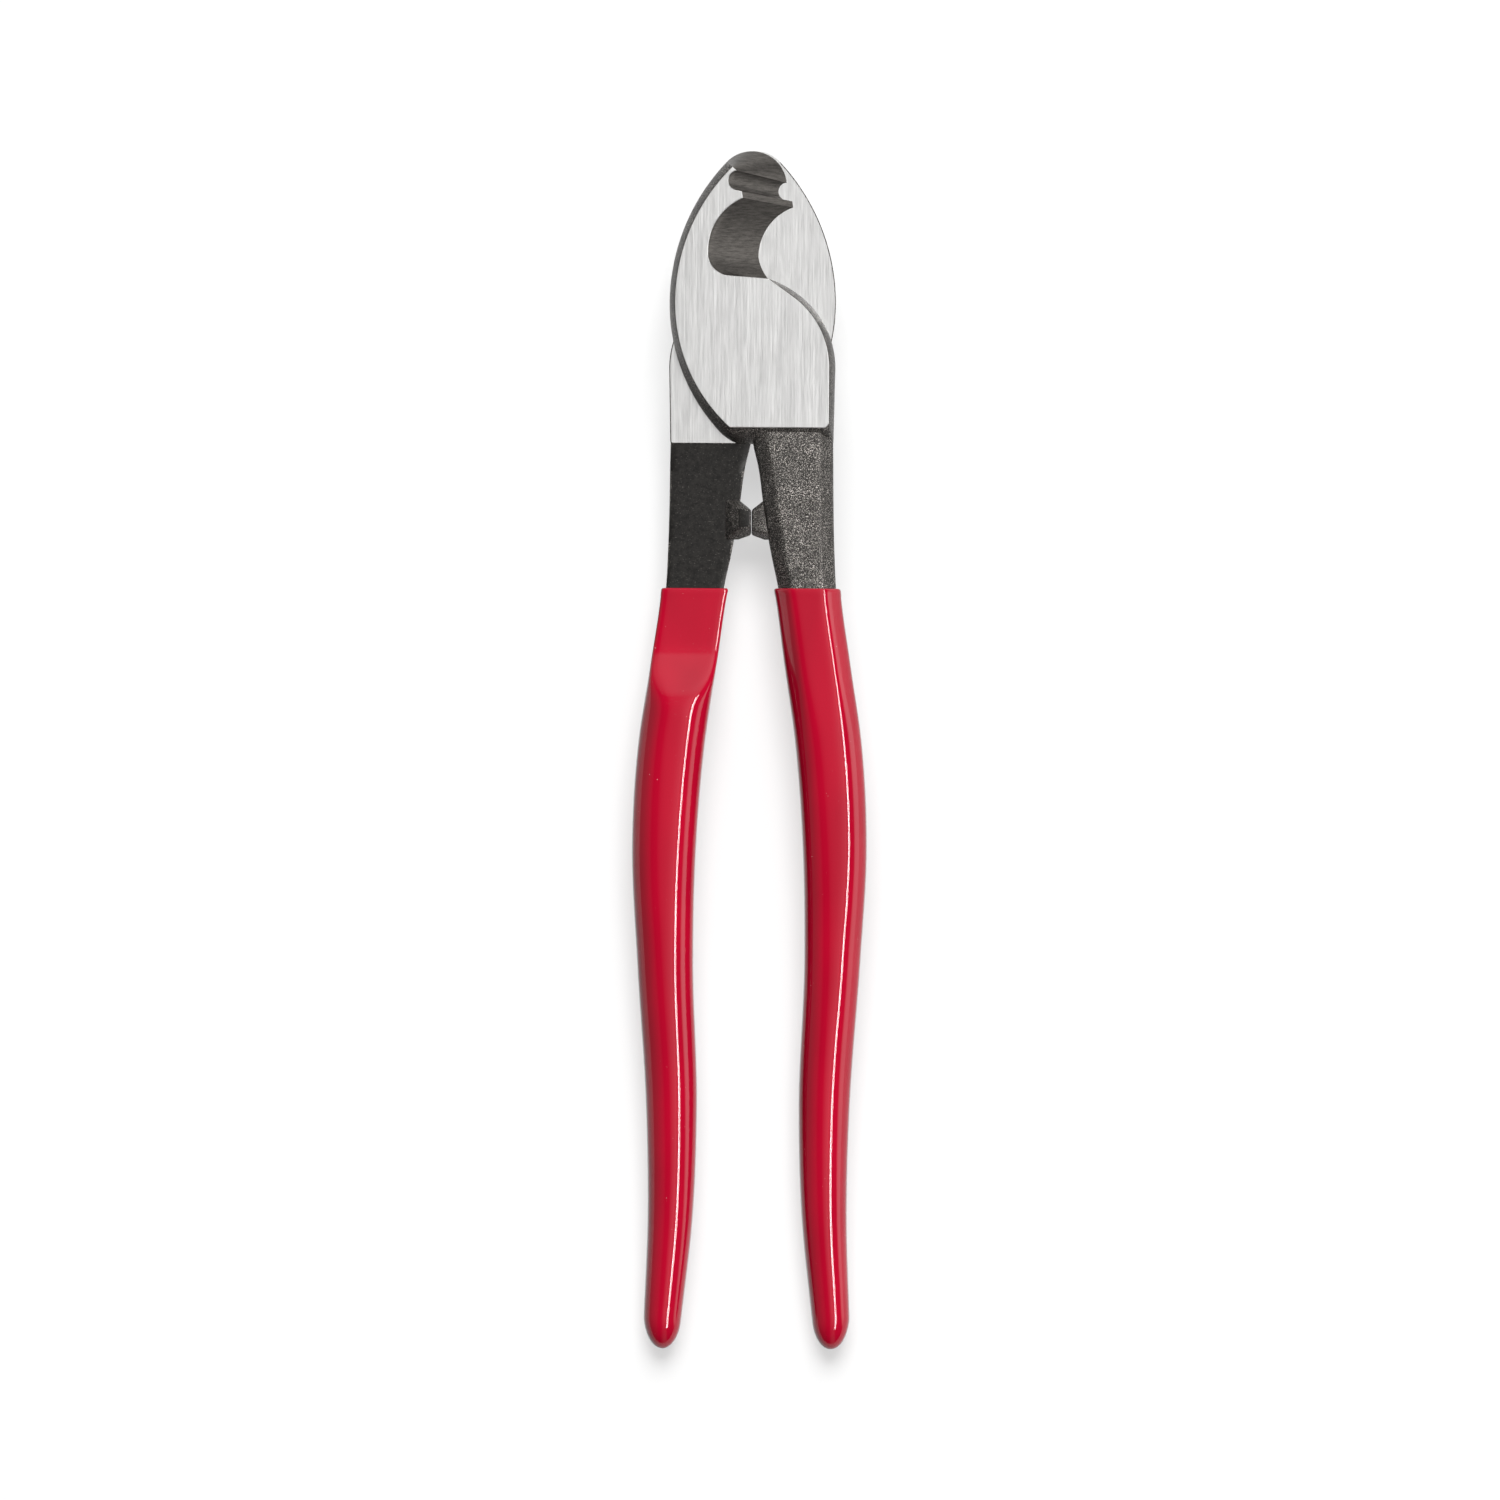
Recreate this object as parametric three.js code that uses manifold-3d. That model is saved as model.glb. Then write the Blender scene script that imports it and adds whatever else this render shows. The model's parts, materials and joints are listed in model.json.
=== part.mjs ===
// Lap-joint cable cutters: two like forged levers, one turned half a turn about the long axis, crossed at
// an adjustable pivot and sleeved in dipped plastic grips. Lying on their back, jaws shut.
// Millimetres. +X to the right-hand grip, +Y to the tip, +Z out of the front face.
// The levers are drawn about the pivot axis with the lap plane, where they meet, at z = 0.
import * as THREE from 'three';
import { LoftGeometry } from 'three/addons/geometries/LoftGeometry.js';
import { mergeVertices } from 'three/addons/utils/BufferGeometryUtils.js';
import Module from 'manifold-3d';

const wasm = await Module();
wasm.setup();

// ---- Driving dimensions ----

// Whole tool
const toolLength = 240; // tip to grip ends
const tipReach = 41.5; // pivot axis to tip
const headWidth = 33.3; // across both jaws at their widest
const plateThickness = 7; // lap plane to ground face
const lapGap = 0.1; // between the two lap faces

// Head outline: the forged edge at the lap face, and the ground face inside it
const tipRadius = 7;
const tipCentreX = -0.3;
const tipStart = THREE.MathUtils.degToRad(6); // the tip arc's two ends, from +X
const tipEnd = THREE.MathUtils.degToRad(138);
const tipFacet = 3.4; // tip to the ground face's point
const facePointX = -4.2;
const widestY = 11; // above the pivot axis
const rimWidth = 1.15; // slanted forged rim at the flank
const shoulderRim = 1.3; // and down the shoulder side
const cheekCorner = new THREE.Vector2(-6.8, -14.4); // where the flank turns in to the shank
const cheekBow = 0.35; // of the lap face's edge inside that corner
const lapInnerX = -2.6; // where that edge meets the straight lower edge
const lapEnd = 17.2; // lap face below the pivot axis
const faceEnd = 14; // ground face below the pivot axis
const faceCorner = new THREE.Vector2(-4.4, -faceEnd);
const faceRound = 1.2; // its corner radius on the shoulder side
const shoulderY = -2; // where the shoulder is widest
const shoulderDraft = 0.3; // how far it has come in at the lap face's lower end
const shoulderTop = new THREE.Vector2(8.6, 13.2);
const shoulderTopRim = new THREE.Vector2(-0.3, -1.2); // ground face's edge from there
const heel = new THREE.Vector2(3.1, 15.9); // where the shoulder's edge meets the bite
const heelRim = new THREE.Vector2(-0.03, -0.15);
const heelEdgeBow = 0.25;
const rimLevels = [0, 0.4, 0.75, 1]; // heights through the plate
const rimShares = [0, 0.16, 0.52, 1]; // how far in the rim has come at each

// Bite: its outline at the ground face, carried slanting down to the cutting edge at the lap face
const biteLean = 10.1; // sideways over the plate's thickness
const biteDrop = 0.7; // and down at the heel
const biteTaper = 0.06; // more drop for each mm above the heel
const notchDrop = 6.1; // tip to the small notch's centre
const notchX = -2.8;
const notchRadius = 2;
const notchRoundness = 0.9; // bow of its curve over its radius
const notchLean = 0.3; // its lower end inside its centre, and half of its upper end's
const notchLip = 1.3; // height of the step under the notch
const stepX = -2.1;
const stepEase = 0.2; // the step's top corner, in and down
const biteDepthX = -9; // deepest point of the big bite
const biteDepthY = 21.3;
const biteBow = 1.9; // outward bow of its long curve
const heelX = -5.1; // where the curve has turned level
const heelY = 16.4;
const heelBow = 1.25;
const heelSlope = -0.0625;

// Shank and tang: centre X, station down from the pivot axis, half width, half depth
const mouthY = 46.1; // grip mouth below the pivot axis
const shankTop = 6.15; // lap plane to the shank's outer face
const shankStep = 0.3; // the shank's inner face, back from the lap face
const barCornerCut = 2.6; // bevel along the bar's corners
const barCrispShank = 22; // power of the rounded octagon: high is crisp, low is round
const barCrispEnd = 6;
const barEdgeShank = 0.07; // half the angle over which a corner is drawn
const barEdgeEnd = 0.26;
const shankStations = [
  [7.9, 11, 8.1],
  [8.3, 17.5, 8.0],
  [8.75, 21, 7.6],
  [9.45, 30, 7.0],
  [10.2, 38, 6.45],
  [11.25, mouthY, 5.8],
];
// centre X, share of the grip's length, half width, half depth
const tangStations = [
  [13.4, 0.1, 5.75, 6.15],
  [15.65, 0.2, 5.8, 6.1],
  [17.1, 0.34, 5.55, 5.8],
  [16.75, 0.49, 4.75, 5.3],
  [15.3, 0.68, 4.25, 4.8],
  [15.45, 0.83, 3.65, 4.3],
  [16.85, 0.96, 2.95, 3.5],
];
const tangEndGap = 3.6; // tang end to grip end
const rampStart = 58.8; // full depth begins below this, on the lap side
const rampAngle = THREE.MathUtils.degToRad(32);

// Stop lugs, which meet on the centre plane when the jaws are shut
const lugGap = 0.1; // between the two lugs
const lugReach = 3; // each way from the lap plane
const lugTop = 28.3; // on the shank, below the pivot axis
const lugLength = 8.2; // along the shank
const lugDepth = 5.2; // from the contact face into the shank
// How far its contact face, upper flank and lower flank come in: at the shank, at the blunt tip and at
// the crown
const lugShankInsets = { contactTop: 2.1, contactBottom: 1, top: 0, bottom: 0 };
const lugTipInsets = { contactTop: 2.1, contactBottom: 2.6, top: 1.9, bottom: 2.6 };
const lugCrownInsets = { contactTop: 2.1, contactBottom: 1.9, top: 0.2, bottom: 1.5 };

// Grips
const gripWall = 0.8;
const gripGap = 0.1; // tang to sleeve
const gripDome = 6.8; // length of the domed end
const gripDomeTip = 0.04; // size of its last section over the full one

// Pivot
const seatRadius = 5; // stud's root, in the front lever's blind seat
const seatDepth = 5;
const journalRadius = 6; // turns in the rear lever's bore
const threadRadius = 5;
const runningGap = 0.1;
const faceGap = 0.03; // between stacked faces
const spotFaceDepth = 2.4; // pocket in the rear lever's back
const spotFaceClearance = 0.5; // round the widest piece that sits in it
const studChamfer = 0.4;
const washerRadius = 10;
const washerThickness = 1;
const washerChamfer = 0.2;
const springRadius = 8.8;
const springThickness = 0.8;
const springCone = 0.3;
const nutAcrossFlats = 16;
const nutHeight = 4;
const nutChamfer = 0.8; // height of its corners' cone
const nutFaceInset = 0.2; // its back face inside the flats
const studRecess = 0.25; // stud end inside the nut's back face
const studSlotWidth = 1.2;
const studSlotDepth = 1;
const lockScrewRadius = 1.25;
const lockScrewSocket = 0.75;
const lockScrewSocketDepth = 1.2;
const lockScrewInset = 0.3; // below the nut's flat

// Fineness
const barSteps = 30;
const domeSteps = 7;
const tipSteps = 22;
const tableSteps = 400;
const roundSides = 48;
const smallSides = 24;
const overcut = 1; // how far a cutter passes the face it leaves by

// ---- Worked out from them ----

const handleReach = toolLength - tipReach; // pivot axis to grip ends
const gripLength = handleReach - mouthY;
const lapFace = lapGap / 2;
const flankX = headWidth / 2;
const tipCentre = new THREE.Vector2(tipCentreX, tipReach - tipRadius);
const notchTop = new THREE.Vector2(notchX - 2 * notchLean, tipReach - notchDrop + notchRadius);
const notchLow = new THREE.Vector2(notchX - notchLean, tipReach - notchDrop - notchRadius);
const shankBack = lapFace + shankStep;
const backFace = -plateThickness; // the rear lever's ground face
const evenCut = 2 - Math.SQRT2; // corner cut of an even octagon over its half width
const washerTop = backFace + spotFaceDepth - faceGap;
const washerBottom = washerTop - washerThickness;
const springTop = washerBottom - faceGap;
const springBottom = springTop - springThickness - springCone;
const nutTop = springBottom - faceGap;
const nutBottom = nutTop - nutHeight;
const nutMiddle = (nutTop + nutBottom) / 2;
const studEnd = nutBottom + studRecess;
const nutCorner = nutAcrossFlats / 2 / Math.cos(Math.PI / 6);
const spotFaceRadius = Math.max(washerRadius, springRadius, nutCorner) + spotFaceClearance;

// ---- Solids ----

// A closed geometry as a solid that can be joined and cut.
function solid(geometry) {
  const bare = geometry.index ? geometry.toNonIndexed() : geometry.clone();
  bare.deleteAttribute('normal');
  bare.deleteAttribute('uv');
  const merged = mergeVertices(bare, 1e-4);
  const vertProperties = new Float32Array(merged.attributes.position.array);
  const triVerts = new Uint32Array(merged.index.array);
  return new wasm.Manifold(new wasm.Mesh({ numProp: 3, vertProperties, triVerts }));
}

// A named mesh of a solid, in its material.
function piece(name, body, material) {
  const { vertProperties, triVerts } = body.getMesh();
  const geometry = new THREE.BufferGeometry();
  geometry.setAttribute('position', new THREE.BufferAttribute(vertProperties, 3));
  geometry.setIndex(new THREE.BufferAttribute(triVerts, 1));
  geometry.computeVertexNormals();
  const mesh = new THREE.Mesh(geometry, material);
  mesh.name = name;
  return mesh;
}

// A round bar or hole along Z between two heights.
function roundBar(radius, low, high) {
  const geometry = new THREE.CylinderGeometry(radius, radius, high - low, roundSides);
  geometry.rotateX(Math.PI / 2);
  geometry.translate(0, 0, (low + high) / 2);
  return solid(geometry);
}

// A solid of revolution about Z from [radius, height] points that run upwards or close on themselves.
function turned(points) {
  const profile = points.map(([radius, height]) => new THREE.Vector2(radius, height));
  const geometry = new THREE.LatheGeometry(profile, roundSides);
  geometry.rotateX(Math.PI / 2);
  return solid(geometry);
}

// ---- Head ----

// Points of a circular arc that bows out to the right of its way by the given height; 0 is straight.
function bowedEdge(from, to, bow, steps) {
  if (bow === 0) return new THREE.LineCurve(from, to).getPoints(steps);
  const chord = to.clone().sub(from);
  const half = chord.length() / 2;
  const radius = (half * half + bow * bow) / (2 * Math.abs(bow));
  const right = new THREE.Vector2(chord.y, -chord.x).normalize();
  const middle = from.clone().add(to).multiplyScalar(0.5);
  const centre = middle.addScaledVector(right, bow - Math.sign(bow) * radius);
  const start = from.clone().sub(centre).angle();
  const end = to.clone().sub(centre).angle();
  return new THREE.ArcCurve(centre.x, centre.y, radius, start, end, bow < 0).getPoints(steps);
}

// The bow of the arc that leaves the point `side` along Y and ends at `end`.
function flankBow(side, end) {
  const chord = end.distanceTo(side);
  const radius = (chord * chord) / (2 * Math.abs(end.x - side.x));
  return radius - Math.sqrt(radius * radius - (chord * chord) / 4);
}

// The head's two outlines, point for point and counterclockwise, each edge once: at the lap face, and
// at the ground face. Beyond the heel they run clear of the bite, which is cut out afterwards.
function headOutlines() {
  const at = (x, y) => new THREE.Vector2(x, y);
  const lap = [];
  const ground = [];
  const edge = (steps, lapFrom, lapTo, lapBow, groundFrom, groundTo, groundBow) => {
    lap.push(...bowedEdge(lapFrom, lapTo, lapBow, steps).slice(0, -1));
    ground.push(...bowedEdge(groundFrom, groundTo, groundBow, steps).slice(0, -1));
  };
  const onTip = (angle) => at(Math.cos(angle), Math.sin(angle)).multiplyScalar(tipRadius).add(tipCentre);
  const tipRight = onTip(tipStart);
  const tipLeft = onTip(tipEnd);
  const tipBow = tipRadius * (1 - Math.cos((tipEnd - tipStart) / 2));
  const facePoint = at(facePointX, tipReach - tipFacet);
  edge(tipSteps, tipRight, tipLeft, tipBow, notchTop, facePoint, 0);

  const flank = at(-flankX, widestY);
  const faceFlank = at(-flankX + rimWidth, widestY);
  edge(14, tipLeft, flank, flankBow(flank, tipLeft), facePoint, faceFlank, flankBow(faceFlank, facePoint));
  edge(12, flank, cheekCorner, flankBow(flank, cheekCorner),
    faceFlank, faceCorner, flankBow(faceFlank, faceCorner));

  const lapInner = at(lapInnerX, -lapEnd);
  const faceInner = at(faceCorner.x + faceRound, -faceEnd);
  edge(4, cheekCorner, lapInner, cheekBow, faceCorner, faceInner, 0);
  const sideX = flankX - shoulderRim;
  const lapOuter = at(flankX - shoulderDraft, -lapEnd);
  const faceOuter = at(sideX - faceRound, -faceEnd);
  edge(4, lapInner, lapOuter, 0, faceInner, faceOuter, 0);
  const lapSide = at(flankX - shoulderDraft, -lapEnd + faceRound);
  const faceSide = at(sideX, -faceEnd + faceRound);
  const quarterBow = faceRound * (1 - Math.SQRT1_2);
  edge(3, lapOuter, lapSide, 0, faceOuter, faceSide, quarterBow);

  const shoulder = at(flankX, shoulderY);
  const faceShoulder = at(sideX, shoulderY);
  edge(4, lapSide, shoulder, 0, faceSide, faceShoulder, 0);
  const faceTop = shoulderTop.clone().add(shoulderTopRim);
  const faceHeel = heel.clone().add(heelRim);
  edge(12, shoulder, shoulderTop, flankBow(shoulder, shoulderTop),
    faceShoulder, faceTop, flankBow(faceShoulder, faceTop));
  edge(6, shoulderTop, heel, heelEdgeBow, faceTop, faceHeel, 0);

  // round the bite: up from the heel, along it and back to the tip
  const lapPast = heel.x + biteLean * 2 / 3;
  const facePast = heel.x - 2 * heelEdgeBow;
  const lapLow = at(lapPast, heel.y + notchRadius);
  const lapHigh = at(lapPast, notchLow.y);
  const faceLow = at(facePast, heel.y + notchRadius);
  const faceHigh = at(facePast, notchLow.y + notchRadius);
  edge(1, heel, lapLow, 0, faceHeel, faceLow, 0);
  edge(1, lapLow, lapHigh, 0, faceLow, faceHigh, 0);
  edge(1, lapHigh, tipRight, 0, faceHigh, notchTop, 0);
  return { lap, ground };
}

// The head: sections between the two outlines. The tip facet is ruled straight, the rim comes in rounded.
function headPlate() {
  const { lap, ground } = headOutlines();
  const sections = rimLevels.map((level, row) => lap.map((from, i) => {
    const share = i < tipSteps ? level : rimShares[row];
    const flat = from.clone().lerp(ground[i], share);
    return new THREE.Vector3(flat.x, flat.y, THREE.MathUtils.lerp(lapFace, plateThickness, level));
  }));
  return solid(new LoftGeometry(sections, { capStart: true, capEnd: true }));
}

// The bite's outline at the ground face, counterclockwise round what it takes away, from tip to heel.
function biteOutline() {
  const at = (x, y) => new THREE.Vector2(x, y);
  const far = 2 * headWidth;
  const stepTop = at(stepX - stepEase, notchLow.y - stepEase);
  const stepLow = at(stepX, stepTop.y - notchLip);
  const deepest = at(biteDepthX, biteDepthY);
  const heelTurn = at(heelX, heelY);
  return [
    at(far, tipReach + tipRadius),
    ...bowedEdge(notchTop, notchLow, notchRadius * notchRoundness, 8),
    stepTop,
    ...bowedEdge(stepLow, deepest, biteBow, 10).slice(0, -1),
    ...bowedEdge(deepest, heelTurn, heelBow, 6),
    at(far, heelY + heelSlope * (far - heelX)),
  ];
}

// What the bite takes away: its outline carried along the lean, past both faces of the plate.
function biteCutter() {
  const outline = biteOutline();
  const sections = [-overcut, plateThickness + overcut].map((z) => {
    const share = 1 - (z - lapFace) / (plateThickness - lapFace);
    return outline.map(({ x, y }) => {
      const drop = biteDrop + biteTaper * (y - heelY);
      return new THREE.Vector3(x + biteLean * share, y - drop * share, z);
    });
  });
  return solid(new LoftGeometry(sections, { capStart: true, capEnd: true }));
}

// ---- Shank, tang and grip ----

// Sections of the bar from one station to another, grown outwards all round.
const barCurve = new THREE.CatmullRomCurve3([
  ...shankStations.map(([x, drop, width]) => new THREE.Vector3(x, -drop, width)),
  ...tangStations.map(([x, share, width]) => new THREE.Vector3(x, -mouthY - share * gripLength, width)),
], false, 'centripetal');
const depthCurve = new THREE.SplineCurve([
  new THREE.Vector2(0, shankTop),
  new THREE.Vector2(-mouthY, shankTop),
  ...tangStations.map(([, share, , depth]) => new THREE.Vector2(-mouthY - share * gripLength, depth)),
]);

// The value that a curve of (key, value) points has at a key, keys falling along the curve.
function readCurve(points, key) {
  const next = Math.max(1, points.findIndex((point) => point[0] <= key));
  const [a, b] = [points[next - 1], points[next]];
  const share = (key - a[0]) / (b[0] - a[0]);
  return a.map((value, i) => THREE.MathUtils.lerp(value, b[i], share));
}

const barTable = barCurve.getPoints(tableSteps).map((point) => [point.y, point.x, point.z]);
const depthTable = depthCurve.getPoints(tableSteps).map((point) => [point.x, point.y]);

// Centre, half width and half depth of the bar at a height.
function barAt(y) {
  const lowest = barTable[barTable.length - 1][0];
  const held = Math.max(y, lowest + 1e-6);
  const [, centre, width] = readCurve(barTable, held);
  const [, depth] = readCurve(depthTable, Math.max(y, depthTable[depthTable.length - 1][0] + 1e-6));
  return { centre, width, depth };
}

// One section: a rounded octagon, found by dividing each direction by the power sum of how far it reaches
// towards each of the eight sides. Three directions are drawn round each of its eight corners.
function barSection(y, growth, scale) {
  const { centre, width, depth } = barAt(y);
  const along = THREE.MathUtils.clamp((-y - mouthY) / gripLength, 0, 1);
  const power = THREE.MathUtils.lerp(barCrispShank, barCrispEnd, along);
  const spread = THREE.MathUtils.lerp(barEdgeShank, barEdgeEnd, along);
  const cut = Math.min(barCornerCut, evenCut * Math.min(width, depth));
  const corner = (width + depth - cut) * Math.SQRT1_2;
  const reaches = [width, corner, depth, corner, width, corner, depth, corner];
  const low = Math.atan2(depth - cut, width);
  const high = Math.atan2(depth, width - cut);
  const quarter = [low, high, Math.PI - high, Math.PI - low];
  const corners = [...quarter, ...quarter.map((angle) => angle + Math.PI)];
  const angles = corners.flatMap((angle) => [angle - spread, angle, angle + spread]);
  return angles.map((angle) => {
    const sum = reaches.reduce((total, reach, side) => {
      const towards = Math.cos(angle - side * Math.PI / 4) / (reach + growth);
      return towards > 0 ? total + towards ** power : total;
    }, 0);
    const radius = scale * sum ** (-1 / power);
    return new THREE.Vector3(centre + radius * Math.cos(angle), y, radius * Math.sin(angle));
  });
}

// The bar between two heights, grown by a wall. A dome length above 0 rounds its lower end off.
function bar(top, bottom, growth, dome) {
  const straightEnd = bottom + dome;
  const sections = [];
  for (let i = 0; i <= barSteps; i += 1) {
    sections.push(barSection(THREE.MathUtils.lerp(top, straightEnd, i / barSteps), growth, 1));
  }
  for (let i = 1; dome > 0 && i <= domeSteps; i += 1) {
    const angle = Math.sin(i / domeSteps * Math.PI / 2) * Math.PI / 2;
    const scale = Math.max(Math.cos(angle), gripDomeTip);
    sections.push(barSection(straightEnd - dome * Math.sin(angle), growth, scale));
  }
  return solid(new LoftGeometry(sections, { capStart: true, capEnd: true }));
}

// What is missing on the lap side down to the ramp, where the bar takes its full depth, for a bar grown
// outwards by the given wall.
function lapSideCut(growth) {
  const flat = shankBack - growth;
  const corner = -rampStart + growth * Math.tan(rampAngle / 2);
  const run = 2 * plateThickness;
  const outline = new THREE.Shape([
    new THREE.Vector2(run, flat),
    new THREE.Vector2(corner, flat),
    new THREE.Vector2(corner - run, flat - run * Math.tan(rampAngle)),
    new THREE.Vector2(run, flat - run * Math.tan(rampAngle)),
  ]);
  const across = 4 * flankX;
  const geometry = new THREE.ExtrudeGeometry(outline, { depth: across, bevelEnabled: false });
  // the outline's own X and Y become the tool's Y and Z
  const turn = new THREE.Matrix4().makeBasis(
    new THREE.Vector3(0, 1, 0), new THREE.Vector3(0, 0, 1), new THREE.Vector3(1, 0, 0));
  geometry.applyMatrix4(turn);
  geometry.translate(-across / 2, 0, 0);
  return solid(geometry);
}

// The lug: a block that stands out to the centre plane and past the lap plane, where it narrows to a
// blunt pyramid.
function stopLug() {
  const face = lugGap / 2;
  const lugBottom = lugTop + lugLength;
  const ring = (z, insets, middle, far) => [
    new THREE.Vector3(face, -lugTop - insets.contactTop, z),
    new THREE.Vector3(face, -lugBottom + insets.contactBottom, z),
    new THREE.Vector3(face + middle, -lugBottom + insets.bottom, z),
    new THREE.Vector3(face + far, -lugBottom + insets.bottom, z),
    new THREE.Vector3(face + far, -lugTop - insets.top, z),
    new THREE.Vector3(face + middle, -lugTop - insets.top, z),
  ];
  const sections = [
    ring(-lugReach, lugTipInsets, lugDepth / 4, lugDepth / 2),
    ring(shankBack, lugShankInsets, lugDepth / 2, lugDepth),
    ring(lugReach, lugCrownInsets, lugDepth / 2, lugDepth),
  ];
  return solid(new LoftGeometry(sections, { capStart: true, capEnd: true }));
}

// A forged and ground lever, without its pivot hole.
function lever() {
  const tangEnd = -handleReach + tangEndGap;
  const handle = bar(-shankStations[0][1], tangEnd, 0, 0).subtract(lapSideCut(0));
  return headPlate().subtract(biteCutter()).add(handle).add(stopLug());
}

// The dipped sleeve round the tang.
function grip() {
  const shell = bar(-mouthY, -handleReach, gripGap + gripWall, gripDome);
  const cavity = bar(-mouthY + overcut, -handleReach + tangEndGap - gripGap, gripGap, 0);
  const outside = shell.subtract(lapSideCut(gripGap + gripWall));
  return outside.subtract(cavity.subtract(lapSideCut(gripGap)));
}

// ---- Pivot ----

// Stud: root in the front lever, journal in the rear one, threaded end with a slot to hold it by.
function pivotStud() {
  const rootTop = lapFace + seatDepth - runningGap;
  const journalEnd = washerBottom + faceGap;
  const body = turned([
    [0, studEnd],
    [threadRadius - studChamfer, studEnd],
    [threadRadius, studEnd + studChamfer],
    [threadRadius, journalEnd],
    [journalRadius, journalEnd],
    [journalRadius, lapFace - faceGap],
    [seatRadius, lapFace - faceGap],
    [seatRadius, rootTop - studChamfer],
    [seatRadius - studChamfer, rootTop],
    [0, rootTop],
  ]);
  const slot = new THREE.BoxGeometry(4 * threadRadius, studSlotWidth, 2 * studSlotDepth);
  slot.translate(0, 0, studEnd);
  return body.subtract(solid(slot));
}

// A flat ring with broken edges.
function bearingWasher() {
  const bore = journalRadius + runningGap;
  return turned([
    [bore, washerBottom],
    [washerRadius - washerChamfer, washerBottom],
    [washerRadius, washerBottom + washerChamfer],
    [washerRadius, washerTop - washerChamfer],
    [washerRadius - washerChamfer, washerTop],
    [bore, washerTop],
    [bore, washerBottom],
  ]);
}

// A shallow cone of even thickness, its rim on the washer and its bore on the nut.
function discSpring() {
  const bore = threadRadius + 2 * runningGap;
  return turned([
    [bore, springBottom],
    [springRadius, springBottom + springCone],
    [springRadius, springTop],
    [bore, springTop - springCone],
    [bore, springBottom],
  ]);
}

// A thin hexagon nut, its corners chamfered at the back, with a tapped hole across for the lock screw.
function pivotNut() {
  const clear = nutCorner + runningGap;
  const hexagon = new THREE.CylinderGeometry(nutCorner, nutCorner, nutHeight, 6);
  hexagon.rotateX(Math.PI / 2);
  hexagon.translate(0, 0, nutMiddle);
  const rounding = turned([
    [0, nutBottom],
    [nutAcrossFlats / 2 - nutFaceInset, nutBottom],
    [clear, nutBottom + nutChamfer],
    [clear, nutTop],
    [0, nutTop],
  ]);
  const bore = roundBar(threadRadius + runningGap / 2, nutBottom - overcut, nutTop + overcut);
  return solid(hexagon).intersect(rounding).subtract(bore).subtract(nutCrossHole());
}

// A bar across the nut at mid height, square to one of its flats, between two distances from the axis.
function crossBar(radius, from, to, sides) {
  const geometry = new THREE.CylinderGeometry(radius, radius, to - from, sides);
  geometry.rotateZ(Math.PI / 2);
  geometry.translate((from + to) / 2, 0, nutMiddle);
  return solid(geometry);
}

function nutCrossHole() {
  return crossBar(lockScrewRadius + runningGap / 2, threadRadius - overcut, nutAcrossFlats, smallSides);
}

// A grub screw with a hexagon socket, short of the flat.
function nutLockScrew() {
  const from = threadRadius + runningGap / 2;
  const to = nutAcrossFlats / 2 - lockScrewInset;
  const socket = crossBar(lockScrewSocket, to - lockScrewSocketDepth, to + overcut, 6);
  return crossBar(lockScrewRadius, from, to, smallSides).subtract(socket);
}

// ---- Assembly ----

const groundSteel = new THREE.MeshStandardMaterial({ color: 0xc4c3c0, roughness: 0.35, metalness: 1 });
const dippedPlastic = new THREE.MeshStandardMaterial({ color: 0xa3142b, roughness: 0.22, metalness: 0 });
const platedSteel = new THREE.MeshStandardMaterial({ color: 0x8f8e8a, roughness: 0.4, metalness: 1 });
const springSteel = new THREE.MeshStandardMaterial({ color: 0x4a4744, roughness: 0.45, metalness: 1 });

const blindSeat = roundBar(seatRadius + runningGap, -overcut, lapFace + seatDepth);
const throughBore = roundBar(journalRadius + runningGap, -overcut, plateThickness + overcut);
const spotFace = roundBar(spotFaceRadius, plateThickness - spotFaceDepth, plateThickness + overcut);

const frontHalf = new THREE.Group();
frontHalf.add(piece('front_lever', lever().subtract(blindSeat), groundSteel));
frontHalf.add(piece('front_grip', grip(), dippedPlastic));

// The rear half is the same pair, turned half a turn about the long axis.
const rearHalf = new THREE.Group();
rearHalf.add(piece('rear_lever', lever().subtract(throughBore).subtract(spotFace), groundSteel));
rearHalf.add(piece('rear_grip', grip(), dippedPlastic));
rearHalf.rotation.y = Math.PI;

const pivot = new THREE.Group();
pivot.add(piece('pivot_stud', pivotStud(), platedSteel));
pivot.add(piece('bearing_washer', bearingWasher(), platedSteel));
pivot.add(piece('disc_spring', discSpring(), springSteel));
pivot.add(piece('pivot_nut', pivotNut(), platedSteel));
pivot.add(piece('nut_lock_screw', nutLockScrew(), springSteel));

// The tool's frame: centred over its length, standing on the nut's back face.
const tool = new THREE.Group();
tool.add(frontHalf, rearHalf, pivot);
tool.position.set(0, toolLength / 2 - tipReach, -nutBottom);
tool.updateMatrixWorld(true);

export default tool;
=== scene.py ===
"""Lap-joint cable cutters: the visual model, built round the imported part.

Run as a script: main() registers the add-on's classes, makes every piece through its operator, and
stops. Lengths are metres. The levers are worked out about the pivot axis with the lap plane, where
they meet, at z = 0; the rear half is the front one turned half a turn about the long axis.
"""
import json
import math

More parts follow.
